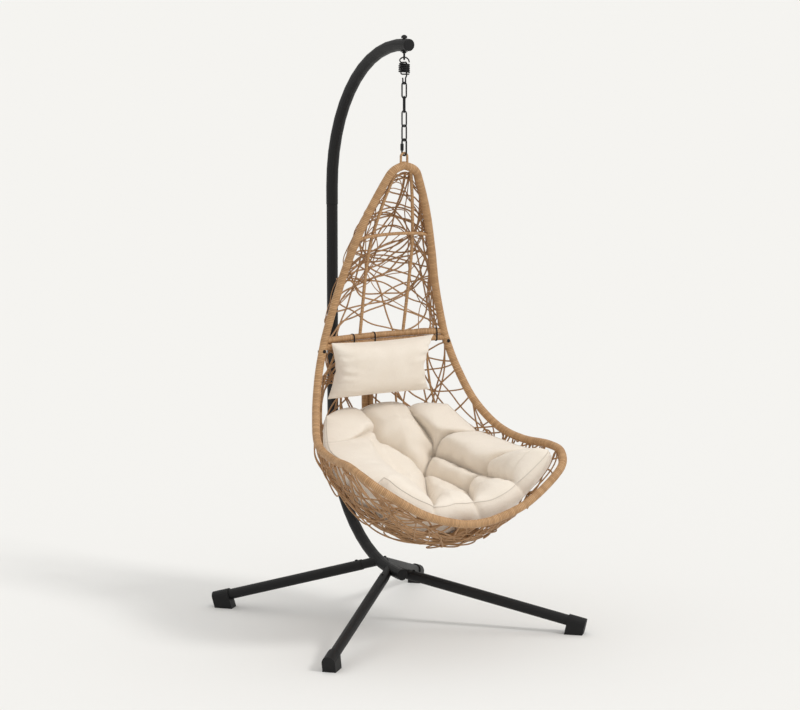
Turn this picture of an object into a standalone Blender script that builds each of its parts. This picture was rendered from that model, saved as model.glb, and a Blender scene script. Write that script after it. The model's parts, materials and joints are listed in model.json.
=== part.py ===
"""Hanging egg chair: a teardrop rattan basket on a chain, under a C-shaped pole with four legs.

Metres, +Z up. The chair faces -Y and x = 0 is its mirror plane. The pieces are laid out round the
hang line (x = 0, y = 0); at the end the whole part is slid along Y so that the origin lies at the
bottom centre of its box. Run with: blender --background --python part.py
"""
import functools
import math
import random

import bmesh
import bpy
import numpy as np
from mathutils import Matrix, Vector

# ---------------------------------------------------------------- fits
GAP = 0.0003                    # between faces that touch
CHAIN_GAP = 0.0007              # between crossing wires, whose bends are faceted
TUBE_SIDES = 16                 # facets round a steel tube
RIM_SIDES = 10                  # facets round a wrapped basket tube
WIRE_SIDES = 6                  # facets round chain and spring wire

# ---------------------------------------------------------------- stand
ARM_HEIGHT = 1.932              # centre of the arm above the floor
TOP_BEND_RADIUS = 0.500
BEND_PAST_HANG = 0.0135         # the arm is bent from here, in front of the hang line
FOOT_BEND_RADIUS = 0.445
HUB_HEIGHT = 0.182              # centre of the pole's lower run
ARM_END_LENGTH = 0.0165         # straight end of the arm
HUB_END_LENGTH = 0.0305         # straight end of the lower run
UPPER_TUBE_RADIUS = 0.020
POLE_WALL = 0.0015
POLE_JOINT_DROP = 0.059         # where the upper tube slips over the lower one, below the bend
NECK_LENGTH = 0.070
LOWER_TUBE_RADIUS = 0.0190
CAP_FLANGE = 0.0030
CAP_PLUG_DEPTH = 0.014

STUB_RADIUS = 0.0160            # welded stubs that the legs slip over
STUB_LENGTH = 0.130             # from the pole's centre line
STUB_WALL = 0.0020
LEG_WALL = 0.0015
LEG_START = 0.062               # leg's inner end, from the pole's centre line
LEG_FOOT_HEIGHT = 0.036         # leg's centre line above the floor at the foot point
FRONT_HUB_FROM_END = 0.084      # where the front legs' lines meet the pole's lower run
REAR_HUB_FROM_END = 0.154
FRONT_FOOT = (0.466, -0.343)    # foot point: half spread, distance from the hang line
REAR_FOOT = (0.389, 0.580)
BOOT_LENGTH = 0.060
BOOT_WIDTH = 0.044
BOOT_PAST_FOOT = 0.024          # boot's outer end past the foot point
BOOT_WALL = 0.006
SCREW_RADIUS = 0.0030
SCREW_HEAD_RADIUS = 0.0056
SCREW_HEAD_HEIGHT = 0.0030
SCREW_LENGTH = 0.011
SCREW_CLEARANCE = 0.0003
LEG_SCREW_FROM_END = 0.018      # leg screw, from the leg's inner end
POLE_SCREW_RISE = 0.032         # pole screw, above the tube joint

# ---------------------------------------------------------------- suspension
WASHER_THICKNESS = 0.0015
WASHER_RADIUS = 0.0120
EYE_RADIUS = 0.0095             # centre line of the eye's ring
EYE_WIRE = 0.0033
EYE_SHANK_RADIUS = 0.0050
NUT_RADIUS = 0.0098
NUT_HEIGHT = 0.0070
NUT_DOME = 0.0045
DRAWBAR_WIRE = 0.0025
UPPER_HOOK_RADIUS = 0.0162
LOWER_HOOK_RADIUS = 0.0062
SHANK_OFFSET = 0.0104           # drawbar shank from the spring's axis
COIL_WIRE = 0.0024
COIL_RADIUS = 0.0166            # centre line of the coil
COIL_WHOLE_TURNS = 4.5          # plus the angle between the two drawbars
COIL_PITCH = 0.0060
COIL_POINTS = 10                # points in one turn
LINK_WIRE = 0.0025
LINK_LENGTH = 0.0566            # outside
LINK_WIDTH = 0.0220             # outside
LINK_COUNT = 4
QUICK_WIRE = 0.0030
QUICK_LENGTH = 0.0595           # outside
QUICK_WIDTH = 0.0240            # outside
QUICK_MOUTH = 0.0070            # opening that the sleeve nut closes
QUICK_NUT_RADIUS = 0.0055
QUICK_NUT_LENGTH = 0.0220
LOOP_WIRE = 0.0040              # wrapped hanging loop
LOOP_RADIUS = 0.0119
LOOP_HEIGHT = 0.0394            # loop's top above the centre of the rim
# direction of each piece's plane about the vertical, from +X, in degrees
EYE_TURN = 60.0
UPPER_HOOK_TURN = -30.0
LOWER_HOOK_TURN = 15.0
LINK_TURNS = (-65.0, 45.0, -65.0, 5.0)
QUICK_TURN = -70.0

# ---------------------------------------------------------------- basket
RIM_RADIUS = 0.0132             # wrapped tube of the two rims
BAR_RADIUS = 0.0105             # wrapped cross bars
BAR_BOW = 0.0300                # middle of the cross bars behind their ends
RIB_RADIUS = 0.0055             # ribs of the back
SEAT_RIB_RADIUS = 0.0040        # ribs of the seat
POST_RADIUS = 0.0105            # pair of posts down the back
STRAND_RADIUS = 0.0026          # weave
BOLT_RADIUS = 0.0040
BOLT_HEAD_RADIUS = 0.0060
BOLT_HEAD_HEIGHT = 0.0030
BOLT_NUT_RADIUS = 0.0072
BOLT_NUT_HEIGHT = 0.0060
UPPER_BAR_DROP = 0.5750         # upper cross bar, below the centre of the rim's apex
TIE_SPOTS = (-0.110, -0.0265, 0.2005)
TIE_THICKNESS = 0.0012
TIE_WIDTH = 0.0045

# half outline of the rims: half width, distance behind the hang line, drop below the apex
JOINT_DROP = 0.607              # where the lower rim is bolted to the upper one
RIM_OUTLINE = (
    (0.000, 0.001, 0.000),
    (0.040, 0.001, 0.017),
    (0.064, 0.012, 0.054),
    (0.113, 0.047, 0.167),
    (0.154, 0.084, 0.296),
    (0.185, 0.112, 0.418),
    (0.219, 0.126, 0.545),
    (0.236, 0.124, 0.607),
    (0.264, 0.104, 0.697),
    (0.301, 0.051, 0.805),
    (0.340, -0.036, 0.882),
    (0.358, -0.160, 0.907),
    (0.375, -0.295, 0.906),
    (0.374, -0.372, 0.921),
    (0.327, -0.430, 0.966),
    (0.193, -0.456, 1.051),
    (0.070, -0.461, 1.091),
    (0.000, -0.461, 1.099),
)
CORNER_DROP = 0.943             # where the side of the seat ends and its front begins
LAP_LENGTH = 0.018              # half of the half-lap between the rims
EDGE_BACK = 0.0155              # weave's edge behind the centre of a cross bar
# middle line of the seat's shell: distance behind the hang line, drop below the apex
SEAT_MIDLINE = (
    (0.200, 0.650),
    (0.246, 0.710),
    (0.266, 0.800),
    (0.250, 0.905),
    (0.190, 1.005),
    (0.095, 1.095),
    (-0.030, 1.168),
    (-0.165, 1.201),
    (-0.300, 1.193),
    (-0.400, 1.150),
)
# middle line of the back's shell
BACK_MIDLINE = (
    (0.186, 0.500),
    (0.182, 0.400),
    (0.155, 0.270),
    (0.108, 0.150),
    (0.050, 0.060),
)
WEAVE_SEED = 7
SEAT_CELLS = (11, 9)            # cells of the seat's lattice, down and across
BACK_CELLS = (8, 5)
WEAVE_JITTER = 0.30             # of a cell
WEAVE_DIAGONALS = 0.30          # share of the cells that a strand crosses
SEAT_RIB_SHARES = (-0.66, -0.30, 0.30, 0.66)
RIB_LIFT = 0.0045               # room for the strands' sag between the weave and the ribs
POST_LIFT = 0.0030              # more of it for the posts, which cross the widest gaps
STRAND_SAG = 0.0055             # strands are straight between crossings, so these stand out a little
BACK_RIB_FOOT = 0.082           # back ribs from the mirror plane, on the bar
ARCH_RIB_DROP = 0.229           # top of the arched rib

# ---------------------------------------------------------------- cushions
CUSHION_REST = 0.0009           # clearance that the covers keep to the frame
CUSHION_THICKNESS = 0.130
CUSHION_EDGE = 0.062            # height of the sewn edge above the frame
CUSHION_CENTRE = 0.640          # along the seat's middle line
CUSHION_BACK_REACH = 0.445
CUSHION_FRONT_REACH = 0.342
CUSHION_SIDE_GAP = 0.013125     # beside the cushion, at the seat's widest
CUSHION_BACK_SQUARENESS = 5.0   # 2 is an ellipse
CUSHION_FRONT_SQUARENESS = 9.0
CUSHION_SIDE_THINNING = 0.74    # the sewn edge lies this much lower at the sides
CUSHION_LOBES = 8
CUSHION_RING = 0.46             # sewn ring round the middle panel
PILLOW_WIDTH = 0.385
PILLOW_HEIGHT = 0.190
PILLOW_THICKNESS = 0.095
PILLOW_ASIDE = -0.018           # middle of the pillow from the mirror plane
PILLOW_DROP = 0.676             # middle of the pillow below the apex
PILLOW_LEAN = 8.0               # degrees

COLOURS = {
    "black_steel": ((0.022, 0.022, 0.023), 0.45, 0.6),
    "black_plastic": ((0.020, 0.020, 0.021), 0.60, 0.0),
    "dark_steel": ((0.050, 0.050, 0.052), 0.35, 0.9),
    "wrapped_rattan": ((0.46, 0.27, 0.13), 0.60, 0.0),
    "rattan_strand": ((0.36, 0.20, 0.09), 0.60, 0.0),
    "cream_fabric": ((0.80, 0.72, 0.61), 0.90, 0.0),
}

# ---------------------------------------------------------------- places that follow from the sizes
POLE_OFFSET = TOP_BEND_RADIUS - BEND_PAST_HANG
POLE_JOINT_HEIGHT = ARM_HEIGHT - TOP_BEND_RADIUS - POLE_JOINT_DROP
ARM_OVERHANG = BEND_PAST_HANG + ARM_END_LENGTH
HUB_END_Y = POLE_OFFSET - FOOT_BEND_RADIUS - HUB_END_LENGTH
FRONT_HUB_Y = HUB_END_Y + FRONT_HUB_FROM_END
REAR_HUB_Y = HUB_END_Y + REAR_HUB_FROM_END
SEAT_HALF_WIDTH = max(place[0] for place in RIM_OUTLINE)
CUSHION_SIDE_REACH = 1.0 - CUSHION_SIDE_GAP / SEAT_HALF_WIDTH
WASHER_SAG = TOP_BEND_RADIUS - math.sqrt(TOP_BEND_RADIUS ** 2 - (WASHER_RADIUS + BEND_PAST_HANG) ** 2)
ARM_UNDERSIDE = ARM_HEIGHT - UPPER_TUBE_RADIUS - WASHER_SAG - 0.0008
EYE_CENTRE = ARM_UNDERSIDE - WASHER_THICKNESS - 2.0 * GAP - EYE_RADIUS - EYE_WIRE - 0.0010
EYE_BOTTOM = EYE_CENTRE - EYE_RADIUS
UPPER_HOOK_TOP = EYE_BOTTOM + EYE_WIRE + DRAWBAR_WIRE + CHAIN_GAP
UPPER_HOOK_CENTRE = UPPER_HOOK_TOP - UPPER_HOOK_RADIUS
COIL_TURNS = COIL_WHOLE_TURNS + (LOWER_HOOK_TURN - UPPER_HOOK_TURN) / 360.0
COIL_HEIGHT = COIL_TURNS * COIL_PITCH
COIL_TOP = UPPER_HOOK_CENTRE - 0.0053
COIL_BOTTOM = COIL_TOP - COIL_HEIGHT
UPPER_FOOT_HEIGHT = COIL_BOTTOM - COIL_WIRE - DRAWBAR_WIRE - GAP
LOWER_FOOT_HEIGHT = COIL_TOP + COIL_WIRE + DRAWBAR_WIRE + GAP
LOWER_HOOK_CENTRE = UPPER_FOOT_HEIGHT - 0.0254
LOWER_HOOK_BOTTOM = LOWER_HOOK_CENTRE - LOWER_HOOK_RADIUS
LINK_REACH = LINK_LENGTH - 2.0 * LINK_WIRE
QUICK_REACH = QUICK_LENGTH - 2.0 * QUICK_WIRE
LINK_TOPS = [LOWER_HOOK_BOTTOM + DRAWBAR_WIRE + LINK_WIRE + CHAIN_GAP]
for _link in range(1, LINK_COUNT):
    LINK_TOPS.append(LINK_TOPS[-1] - LINK_REACH + 2.0 * LINK_WIRE + CHAIN_GAP)
QUICK_TOP = LINK_TOPS[-1] - LINK_REACH + LINK_WIRE + QUICK_WIRE + CHAIN_GAP
QUICK_BOTTOM = QUICK_TOP - QUICK_REACH
LOOP_TOP = QUICK_BOTTOM + QUICK_WIRE + LOOP_WIRE + CHAIN_GAP + GAP
APEX_HEIGHT = LOOP_TOP - LOOP_HEIGHT
UPPER_BAR_HEIGHT = APEX_HEIGHT - UPPER_BAR_DROP
LOWER_BAR_HEIGHT = UPPER_BAR_HEIGHT - 2.0 * BAR_RADIUS - GAP
JOINT_HEIGHT = APEX_HEIGHT - JOINT_DROP
LEG_RADIUS = STUB_RADIUS + GAP + LEG_WALL
NECK_RADIUS = (UPPER_TUBE_RADIUS - POLE_WALL) * math.cos(math.pi / TUBE_SIDES) - GAP
WEAVE_OFFSET = RIM_RADIUS + STRAND_RADIUS + GAP + 0.0006
BACK_WEAVE_OFFSET = WEAVE_OFFSET - 0.0010
BAR_OFFSET = BAR_RADIUS + TIE_THICKNESS + STRAND_RADIUS + 8.0 * GAP


# ================================================================ scene helpers
def clear_scene():
    for thing in list(bpy.data.objects):
        bpy.data.objects.remove(thing, do_unlink=True)


def make_collection(name):
    collection = bpy.data.collections.new(name)
    bpy.context.scene.collection.children.link(collection)
    return collection


def make_material(name):
    """One Principled material, by its colour, roughness and metallic value."""
    colour, roughness, metallic = COLOURS[name]
    material = bpy.data.materials.new(name)
    material.use_nodes = True
    shader = material.node_tree.nodes["Principled BSDF"]
    shader.inputs["Base Color"].default_value = (*colour, 1.0)
    shader.inputs["Roughness"].default_value = roughness
    shader.inputs["Metallic"].default_value = metallic
    material.diffuse_color = (*colour, 1.0)
    return material


def add_object(name, data, material):
    """Links a new object to the part's collection and gives it its material."""
    thing = bpy.data.objects.new(name, data)
    PART.objects.link(thing)
    if material:
        data.materials.append(MATERIALS[material])
    return thing


def as_cutter(thing):
    """Keeps an operand out of the part: wire display, no render, its own collection."""
    PART.objects.unlink(thing)
    CUTTERS.objects.link(thing)
    thing.display_type = "WIRE"
    thing.hide_render = True
    return thing


def boolean(target, operand, operation):
    modifier = target.modifiers.new(operand.name, "BOOLEAN")
    modifier.object = operand
    modifier.operation = operation
    modifier.solver = "EXACT"


def cut(target, operand):
    boolean(target, as_cutter(operand), "DIFFERENCE")


def join(target, operand):
    boolean(target, as_cutter(operand), "UNION")


def smooth_shade(thing, angle=40.0):
    thing.data.shade_smooth()
    thing.data.set_sharp_from_angle(angle=math.radians(angle))


# ================================================================ paths
def smooth_path(points, count):
    """Catmull-Rom curve through the points, resampled to count points at equal steps."""
    knots = np.array(points, dtype=float)
    first = 2.0 * knots[0] - knots[1]
    last = 2.0 * knots[-1] - knots[-2]
    knots = np.vstack([first, knots, last])
    steps = np.linspace(0.0, 1.0, 24, endpoint=False)[:, None]
    pieces = []
    for a, b, c, d in zip(knots[:-3], knots[1:-2], knots[2:-1], knots[3:]):
        cubic = -a + 3.0 * b - 3.0 * c + d
        square = 2.0 * a - 5.0 * b + 4.0 * c - d
        pieces.append(0.5 * (2.0 * b + (c - a) * steps + square * steps ** 2 + cubic * steps ** 3))
    dense = np.vstack(pieces + [knots[-2:-1]])
    return resample(dense, count)


def resample(dense, count):
    lengths = np.linalg.norm(np.diff(dense, axis=0), axis=1)
    along = np.concatenate([[0.0], np.cumsum(lengths)])
    wanted = np.linspace(0.0, along[-1], count)
    return np.stack([np.interp(wanted, along, dense[:, axis]) for axis in range(dense.shape[1])], axis=1)


def point_on(path, share):
    """Point at a share of a path whose points are at equal steps."""
    place = np.clip(share, 0.0, 1.0) * (len(path) - 1)
    return np.array([np.interp(place, np.arange(len(path)), path[:, axis]) for axis in range(path.shape[1])])


def mirrored(half):
    """Whole outline from a half that ends on the mirror plane."""
    other = half[-2::-1].copy()
    other[:, 0] *= -1.0
    return np.vstack([half, other])


def turned(points, degrees):
    """Points (sideways, height) in an upright plane that is turned about the vertical."""
    angle = math.radians(degrees)
    return [(side * math.cos(angle), side * math.sin(angle), height) for side, height in points]


def arc(centre, radius, start, end, count):
    """Points (sideways, height) on an arc, angles in degrees from the sideways axis."""
    angles = np.radians(np.linspace(start, end, count))
    return [(centre[0] + radius * math.cos(a), centre[1] + radius * math.sin(a)) for a in angles]


# ================================================================ solids
def tube(name, points, radius, material, sides=RIM_SIDES, closed=False, radii=None):
    """Round bar along a path, as a curve with a bevel and filled caps."""
    curve = bpy.data.curves.new(name, "CURVE")
    curve.dimensions = "3D"
    curve.bevel_depth = radius
    curve.bevel_resolution = (sides - 4) // 2
    curve.use_fill_caps = not closed
    curve.render_resolution_u = 0
    spline = curve.splines.new("POLY")
    spline.points.add(len(points) - 1)
    for index, place in enumerate(points):
        spline.points[index].co = (*place, 1.0)
        if radii is not None:
            spline.points[index].radius = radii[index]
    spline.use_cyclic_u = closed
    spline.use_smooth = True
    return add_object(name, curve, material)


def tube_mesh(name, points, radius, material, sides=RIM_SIDES, closed=False, radii=None):
    """The same bar as a welded mesh, ready to be cut or joined."""
    bar = tube(name + "_path", points, radius, material, sides, closed, radii)
    depsgraph = bpy.context.evaluated_depsgraph_get()
    mesh = bpy.data.meshes.new_from_object(bar.evaluated_get(depsgraph))
    mesh.name = name
    weld_mesh(mesh)
    thing = bpy.data.objects.new(name, mesh)
    thing.matrix_world = bar.matrix_world
    PART.objects.link(thing)
    bpy.data.objects.remove(bar, do_unlink=True)
    smooth_shade(thing)
    return thing


def weld_mesh(mesh):
    shape = bmesh.new()
    shape.from_mesh(mesh)
    bmesh.ops.remove_doubles(shape, verts=shape.verts, dist=0.00001)
    face_outward(shape)
    shape.to_mesh(mesh)
    shape.free()


def face_outward(shape):
    """Turns all faces of a closed form outwards."""
    bmesh.ops.recalc_face_normals(shape, faces=shape.faces)
    if shape.calc_volume(signed=True) < 0.0:
        bmesh.ops.reverse_faces(shape, faces=shape.faces)


def rod(name, start, end, radius, material, sides=TUBE_SIDES, end_radius=None):
    """Straight bar or cone between two points, placed by its object's location and rotation."""
    start = Vector(start)
    end = Vector(end)
    mesh = bpy.data.meshes.new(name)
    shape = bmesh.new()
    far = radius if end_radius is None else end_radius
    bmesh.ops.create_cone(shape, cap_ends=True, segments=sides, radius1=radius, radius2=far,
                          depth=(end - start).length)
    shape.to_mesh(mesh)
    shape.free()
    thing = add_object(name, mesh, material)
    thing.location = (start + end) / 2.0
    thing.rotation_mode = "QUATERNION"
    thing.rotation_quaternion = (end - start).to_track_quat("Z", "Y")
    smooth_shade(thing)
    return thing


def ring(name, radius, wire, material, centre, turn, sides=8, segments=20):
    """Upright ring of round wire."""
    bpy.ops.mesh.primitive_torus_add(major_segments=segments, minor_segments=sides,
                                     major_radius=radius, minor_radius=wire)
    thing = bpy.context.object
    for collection in list(thing.users_collection):
        collection.objects.unlink(thing)
    PART.objects.link(thing)
    thing.name = name
    thing.data.name = name
    if material:
        thing.data.materials.append(MATERIALS[material])
    thing.location = centre
    thing.rotation_euler = (math.radians(90.0), 0.0, math.radians(turn))
    smooth_shade(thing)
    return thing


def turned_shape(name, profile, material, place, steps=TUBE_SIDES):
    """Turned piece: a profile (radius, height) that runs down its outer side, on a Screw modifier."""
    mesh = bpy.data.meshes.new(name)
    shape = bmesh.new()
    corners = [shape.verts.new((radius, 0.0, height)) for radius, height in profile]
    for first, second in zip(corners[:-1], corners[1:]):
        shape.edges.new((first, second))
    shape.to_mesh(mesh)
    shape.free()
    thing = add_object(name, mesh, material)
    screw = thing.modifiers.new("turn", "SCREW")
    screw.steps = steps
    screw.render_steps = steps
    screw.use_merge_vertices = True
    screw.merge_threshold = 0.00001
    screw.use_smooth_shade = True
    thing.location = place
    return thing


# ================================================================ stand
def pole_path(low, high):
    """C-shaped centre line of the pole, from the hub end to the arm's end, as (y, z) stretches."""
    foot_centre = (POLE_OFFSET - FOOT_BEND_RADIUS, HUB_HEIGHT + FOOT_BEND_RADIUS)
    top_centre = (POLE_OFFSET - TOP_BEND_RADIUS, ARM_HEIGHT - TOP_BEND_RADIUS)
    if low:
        bend = arc(foot_centre, FOOT_BEND_RADIUS, -90.0, 0.0, 14)
        neck = [(POLE_OFFSET, POLE_JOINT_HEIGHT - 3.0 * GAP), (POLE_OFFSET, POLE_JOINT_HEIGHT - GAP)]
        flat = [(HUB_END_Y, HUB_HEIGHT)] + bend + neck
        flat.append((POLE_OFFSET, POLE_JOINT_HEIGHT + NECK_LENGTH))
    if high:
        bend = arc(top_centre, TOP_BEND_RADIUS, 0.0, 90.0, 14)
        flat = [(POLE_OFFSET, POLE_JOINT_HEIGHT)] + bend + [(-ARM_OVERHANG, ARM_HEIGHT)]
    return [(0.0, y, z) for y, z in flat]


def lengthened(path, extra):
    """The same path with both ends pushed out, for a bore that must break through."""
    first = Vector(path[0]) + (Vector(path[0]) - Vector(path[1])).normalized() * extra
    last = Vector(path[-1]) + (Vector(path[-1]) - Vector(path[-2])).normalized() * extra
    return [tuple(first)] + list(path[1:-1]) + [tuple(last)]


def pole_height(y):
    """Height of the pole's centre line in its lower bend."""
    centre = POLE_OFFSET - FOOT_BEND_RADIUS
    rise = math.sqrt(FOOT_BEND_RADIUS ** 2 - (y - centre) ** 2)
    return HUB_HEIGHT + FOOT_BEND_RADIUS - rise


def leg_line(side, front):
    """Hub point and unit direction of one leg."""
    hub_y, foot = (FRONT_HUB_Y, FRONT_FOOT) if front else (REAR_HUB_Y, REAR_FOOT)
    start = Vector((0.0, hub_y, pole_height(hub_y)))
    end = Vector((side * foot[0], foot[1], LEG_FOOT_HEIGHT))
    return start, (end - start).normalized(), (end - start).length


LEGS = (
    ("front_left", 1.0, True),
    ("front_right", -1.0, True),
    ("rear_left", 1.0, False),
    ("rear_right", -1.0, False),
)


def screw_spot(side, front):
    """Point on the leg's centre line under its screw, and the outward direction of the screw."""
    start, along, _length = leg_line(side, front)
    spot = start + along * (LEG_START + LEG_SCREW_FROM_END)
    upward = (Vector((0.0, 0.0, 1.0)) - along * along.z).normalized()
    return spot, upward


def build_lower_pole():
    path = pole_path(True, False)
    radii = [1.0] * (len(path) - 2) + [NECK_RADIUS / LOWER_TUBE_RADIUS] * 2
    pole = tube_mesh("lower_pole", path, LOWER_TUBE_RADIUS, "black_steel", TUBE_SIDES, radii=radii)
    for name, side, front in LEGS:
        start, along, _length = leg_line(side, front)
        join(pole, rod("stub_" + name, start, start + along * STUB_LENGTH, STUB_RADIUS, None))
    inner = [(radius * LOWER_TUBE_RADIUS - POLE_WALL) / (LOWER_TUBE_RADIUS - POLE_WALL) for radius in radii]
    bore_path = lengthened(path, 0.01)
    cut(pole, tube_mesh("lower_pole_bore", bore_path, LOWER_TUBE_RADIUS - POLE_WALL, None,
                        TUBE_SIDES, radii=inner))
    for name, side, front in LEGS:
        start, along, _length = leg_line(side, front)
        bore_start = start + along * (LOWER_TUBE_RADIUS + 0.012)
        bore_end = start + along * (STUB_LENGTH + 0.01)
        cut(pole, rod("stub_bore_" + name, bore_start, bore_end, STUB_RADIUS - STUB_WALL, None))
        cut(pole, leg_screw_hole("stub_screw_hole_" + name, side, front))
    cut(pole, pole_screw_hole("neck_screw_hole"))
    return pole


def leg_screw_hole(name, side, front):
    spot, upward = screw_spot(side, front)
    return rod(name, spot, spot + upward * (LEG_RADIUS + 0.01), SCREW_RADIUS + SCREW_CLEARANCE, None, 12)


def pole_screw_hole(name):
    height = POLE_JOINT_HEIGHT + POLE_SCREW_RISE
    start = (0.0, POLE_OFFSET, height)
    end = (0.0, POLE_OFFSET + UPPER_TUBE_RADIUS + 0.01, height)
    return rod(name, start, end, SCREW_RADIUS + SCREW_CLEARANCE, None, 12)


def build_upper_pole():
    path = pole_path(False, True)
    pole = tube_mesh("upper_pole", path, UPPER_TUBE_RADIUS, "black_steel", TUBE_SIDES)
    cut(pole, tube_mesh("upper_pole_bore", lengthened(path, 0.01), UPPER_TUBE_RADIUS - POLE_WALL, None,
                        TUBE_SIDES))
    hole_low = (0.0, 0.0, ARM_UNDERSIDE - 0.01)
    hole_high = (0.0, 0.0, ARM_HEIGHT + UPPER_TUBE_RADIUS + 0.01)
    cut(pole, rod("eye_bolt_hole", hole_low, hole_high, EYE_SHANK_RADIUS + GAP, None, 12))
    cut(pole, pole_screw_hole("upper_screw_hole"))
    return pole


def end_cap(name, tube_radius, place):
    """Plastic plug with a domed flange, facing -Y."""
    plug = tube_radius - POLE_WALL - GAP
    profile = (
        (0.0, CAP_FLANGE),
        (tube_radius * 0.80, CAP_FLANGE * 0.85),
        (tube_radius, CAP_FLANGE * 0.35),
        (tube_radius, 0.0),
        (plug, 0.0),
        (plug * 0.96, -CAP_PLUG_DEPTH),
        (0.0, -CAP_PLUG_DEPTH),
    )
    cap = turned_shape(name, profile, "black_plastic", place)
    cap.rotation_euler = (math.radians(90.0), 0.0, 0.0)
    return cap


def button_screw(name, base, outward, length):
    """Button-head screw: its head's underside at base, its shank running inward."""
    profile = (
        (0.0, SCREW_HEAD_HEIGHT),
        (SCREW_HEAD_RADIUS * 0.65, SCREW_HEAD_HEIGHT * 0.80),
        (SCREW_HEAD_RADIUS, SCREW_HEAD_HEIGHT * 0.20),
        (SCREW_HEAD_RADIUS, 0.0),
        (SCREW_RADIUS, 0.0),
        (SCREW_RADIUS, -length),
        (0.0, -length),
    )
    screw = turned_shape(name, profile, "dark_steel", base, 12)
    screw.rotation_mode = "QUATERNION"
    screw.rotation_quaternion = Vector(outward).to_track_quat("Z", "Y")
    return screw


def build_leg(name, side, front):
    start, along, length = leg_line(side, front)
    inner = start + along * LEG_START
    outer = start + along * (length + BOOT_PAST_FOOT - BOOT_WALL - GAP)
    leg = rod("leg_" + name, inner, outer, LEG_RADIUS, "black_steel")
    bore_inner = start + along * (LEG_START - 0.01)
    bore_outer = start + along * (length + BOOT_PAST_FOOT)
    cut(leg, rod("leg_bore_" + name, bore_inner, bore_outer, STUB_RADIUS + GAP, None))
    cut(leg, leg_screw_hole("leg_screw_hole_" + name, side, front))
    return leg


def build_boot(name, side, front):
    """Plastic boot: an arch-topped block along the leg, cut flat on the floor and bored for the leg."""
    start, along, length = leg_line(side, front)
    upward = (Vector((0.0, 0.0, 1.0)) - along * along.z).normalized()
    across = along.cross(upward)
    half = BOOT_WIDTH / 2.0
    outline = [(-half, -0.080), (half, -0.080), (half, 0.004)]
    outline += arc((0.0, 0.0), half, 10.0, 170.0, 9)
    outline.append((-half, 0.004))
    inner_end = start + along * (length + BOOT_PAST_FOOT - BOOT_LENGTH)
    shape = bmesh.new()
    corners = [shape.verts.new(inner_end + across * a + upward * b) for a, b in outline]
    face = shape.faces.new(corners)
    swept = bmesh.ops.extrude_face_region(shape, geom=[face])["geom"]
    moved = [part for part in swept if isinstance(part, bmesh.types.BMVert)]
    bmesh.ops.translate(shape, verts=moved, vec=along * BOOT_LENGTH)
    everything = shape.verts[:] + shape.edges[:] + shape.faces[:]
    bmesh.ops.bisect_plane(shape, geom=everything, plane_co=(0.0, 0.0, 0.0), plane_no=(0.0, 0.0, -1.0),
                           clear_outer=True)
    bmesh.ops.holes_fill(shape, edges=shape.edges, sides=0)
    bmesh.ops.recalc_face_normals(shape, faces=shape.faces)
    mesh = bpy.data.meshes.new("boot_" + name)
    shape.to_mesh(mesh)
    shape.free()
    boot = add_object("boot_" + name, mesh, "black_plastic")
    bevel = boot.modifiers.new("round_edges", "BEVEL")
    bevel.width = 0.004
    bevel.segments = 1
    bevel.limit_method = "ANGLE"
    bevel.angle_limit = math.radians(40.0)
    bore_start = inner_end - along * 0.01
    bore_end = start + along * (length + BOOT_PAST_FOOT - BOOT_WALL)
    cut(boot, rod("boot_bore_" + name, bore_start, bore_end, LEG_RADIUS + GAP, None))
    smooth_shade(boot, 50.0)
    return boot


def build_stand():
    pieces = [build_lower_pole(), build_upper_pole()]
    pieces.append(end_cap("pole_top_cap", UPPER_TUBE_RADIUS, (0.0, -ARM_OVERHANG - GAP, ARM_HEIGHT)))
    pieces.append(end_cap("pole_hub_cap", LOWER_TUBE_RADIUS, (0.0, HUB_END_Y - GAP, HUB_HEIGHT)))
    screw_base = (0.0, POLE_OFFSET + UPPER_TUBE_RADIUS + GAP, POLE_JOINT_HEIGHT + POLE_SCREW_RISE)
    pieces.append(button_screw("pole_joint_screw", screw_base, (0.0, 1.0, 0.0), SCREW_LENGTH))
    for name, side, front in LEGS:
        pieces.append(build_leg(name, side, front))
        pieces.append(build_boot(name, side, front))
        spot, upward = screw_spot(side, front)
        base = spot + upward * (LEG_RADIUS + GAP)
        pieces.append(button_screw("leg_screw_" + name, base, upward, SCREW_LENGTH))
    return pieces


# ================================================================ suspension
def build_eye_bolt():
    eye = ring("eye_bolt", EYE_RADIUS, EYE_WIRE, "dark_steel", (0.0, 0.0, EYE_CENTRE), EYE_TURN)
    shank_low = (0.0, 0.0, EYE_CENTRE + EYE_RADIUS)
    shank_high = (0.0, 0.0, ARM_HEIGHT + UPPER_TUBE_RADIUS + WASHER_THICKNESS + NUT_HEIGHT * 0.75)
    join(eye, rod("eye_shank", shank_low, shank_high, EYE_SHANK_RADIUS, None, 12))
    collar_high = (0.0, 0.0, ARM_UNDERSIDE - WASHER_THICKNESS - 2.0 * GAP)
    collar_low = (0.0, 0.0, EYE_CENTRE + EYE_RADIUS + EYE_WIRE * 0.5)
    join(eye, rod("eye_collar", collar_low, collar_high, EYE_SHANK_RADIUS * 1.5, None, 12))
    return eye


def build_washer():
    hole = EYE_SHANK_RADIUS + GAP
    half = WASHER_THICKNESS / 2.0
    profile = ((hole, half), (WASHER_RADIUS, half), (WASHER_RADIUS, -half), (hole, -half), (hole, half))
    height = ARM_UNDERSIDE - GAP - half
    return turned_shape("eye_bolt_washer", profile, "dark_steel", (0.0, 0.0, height))


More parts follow.
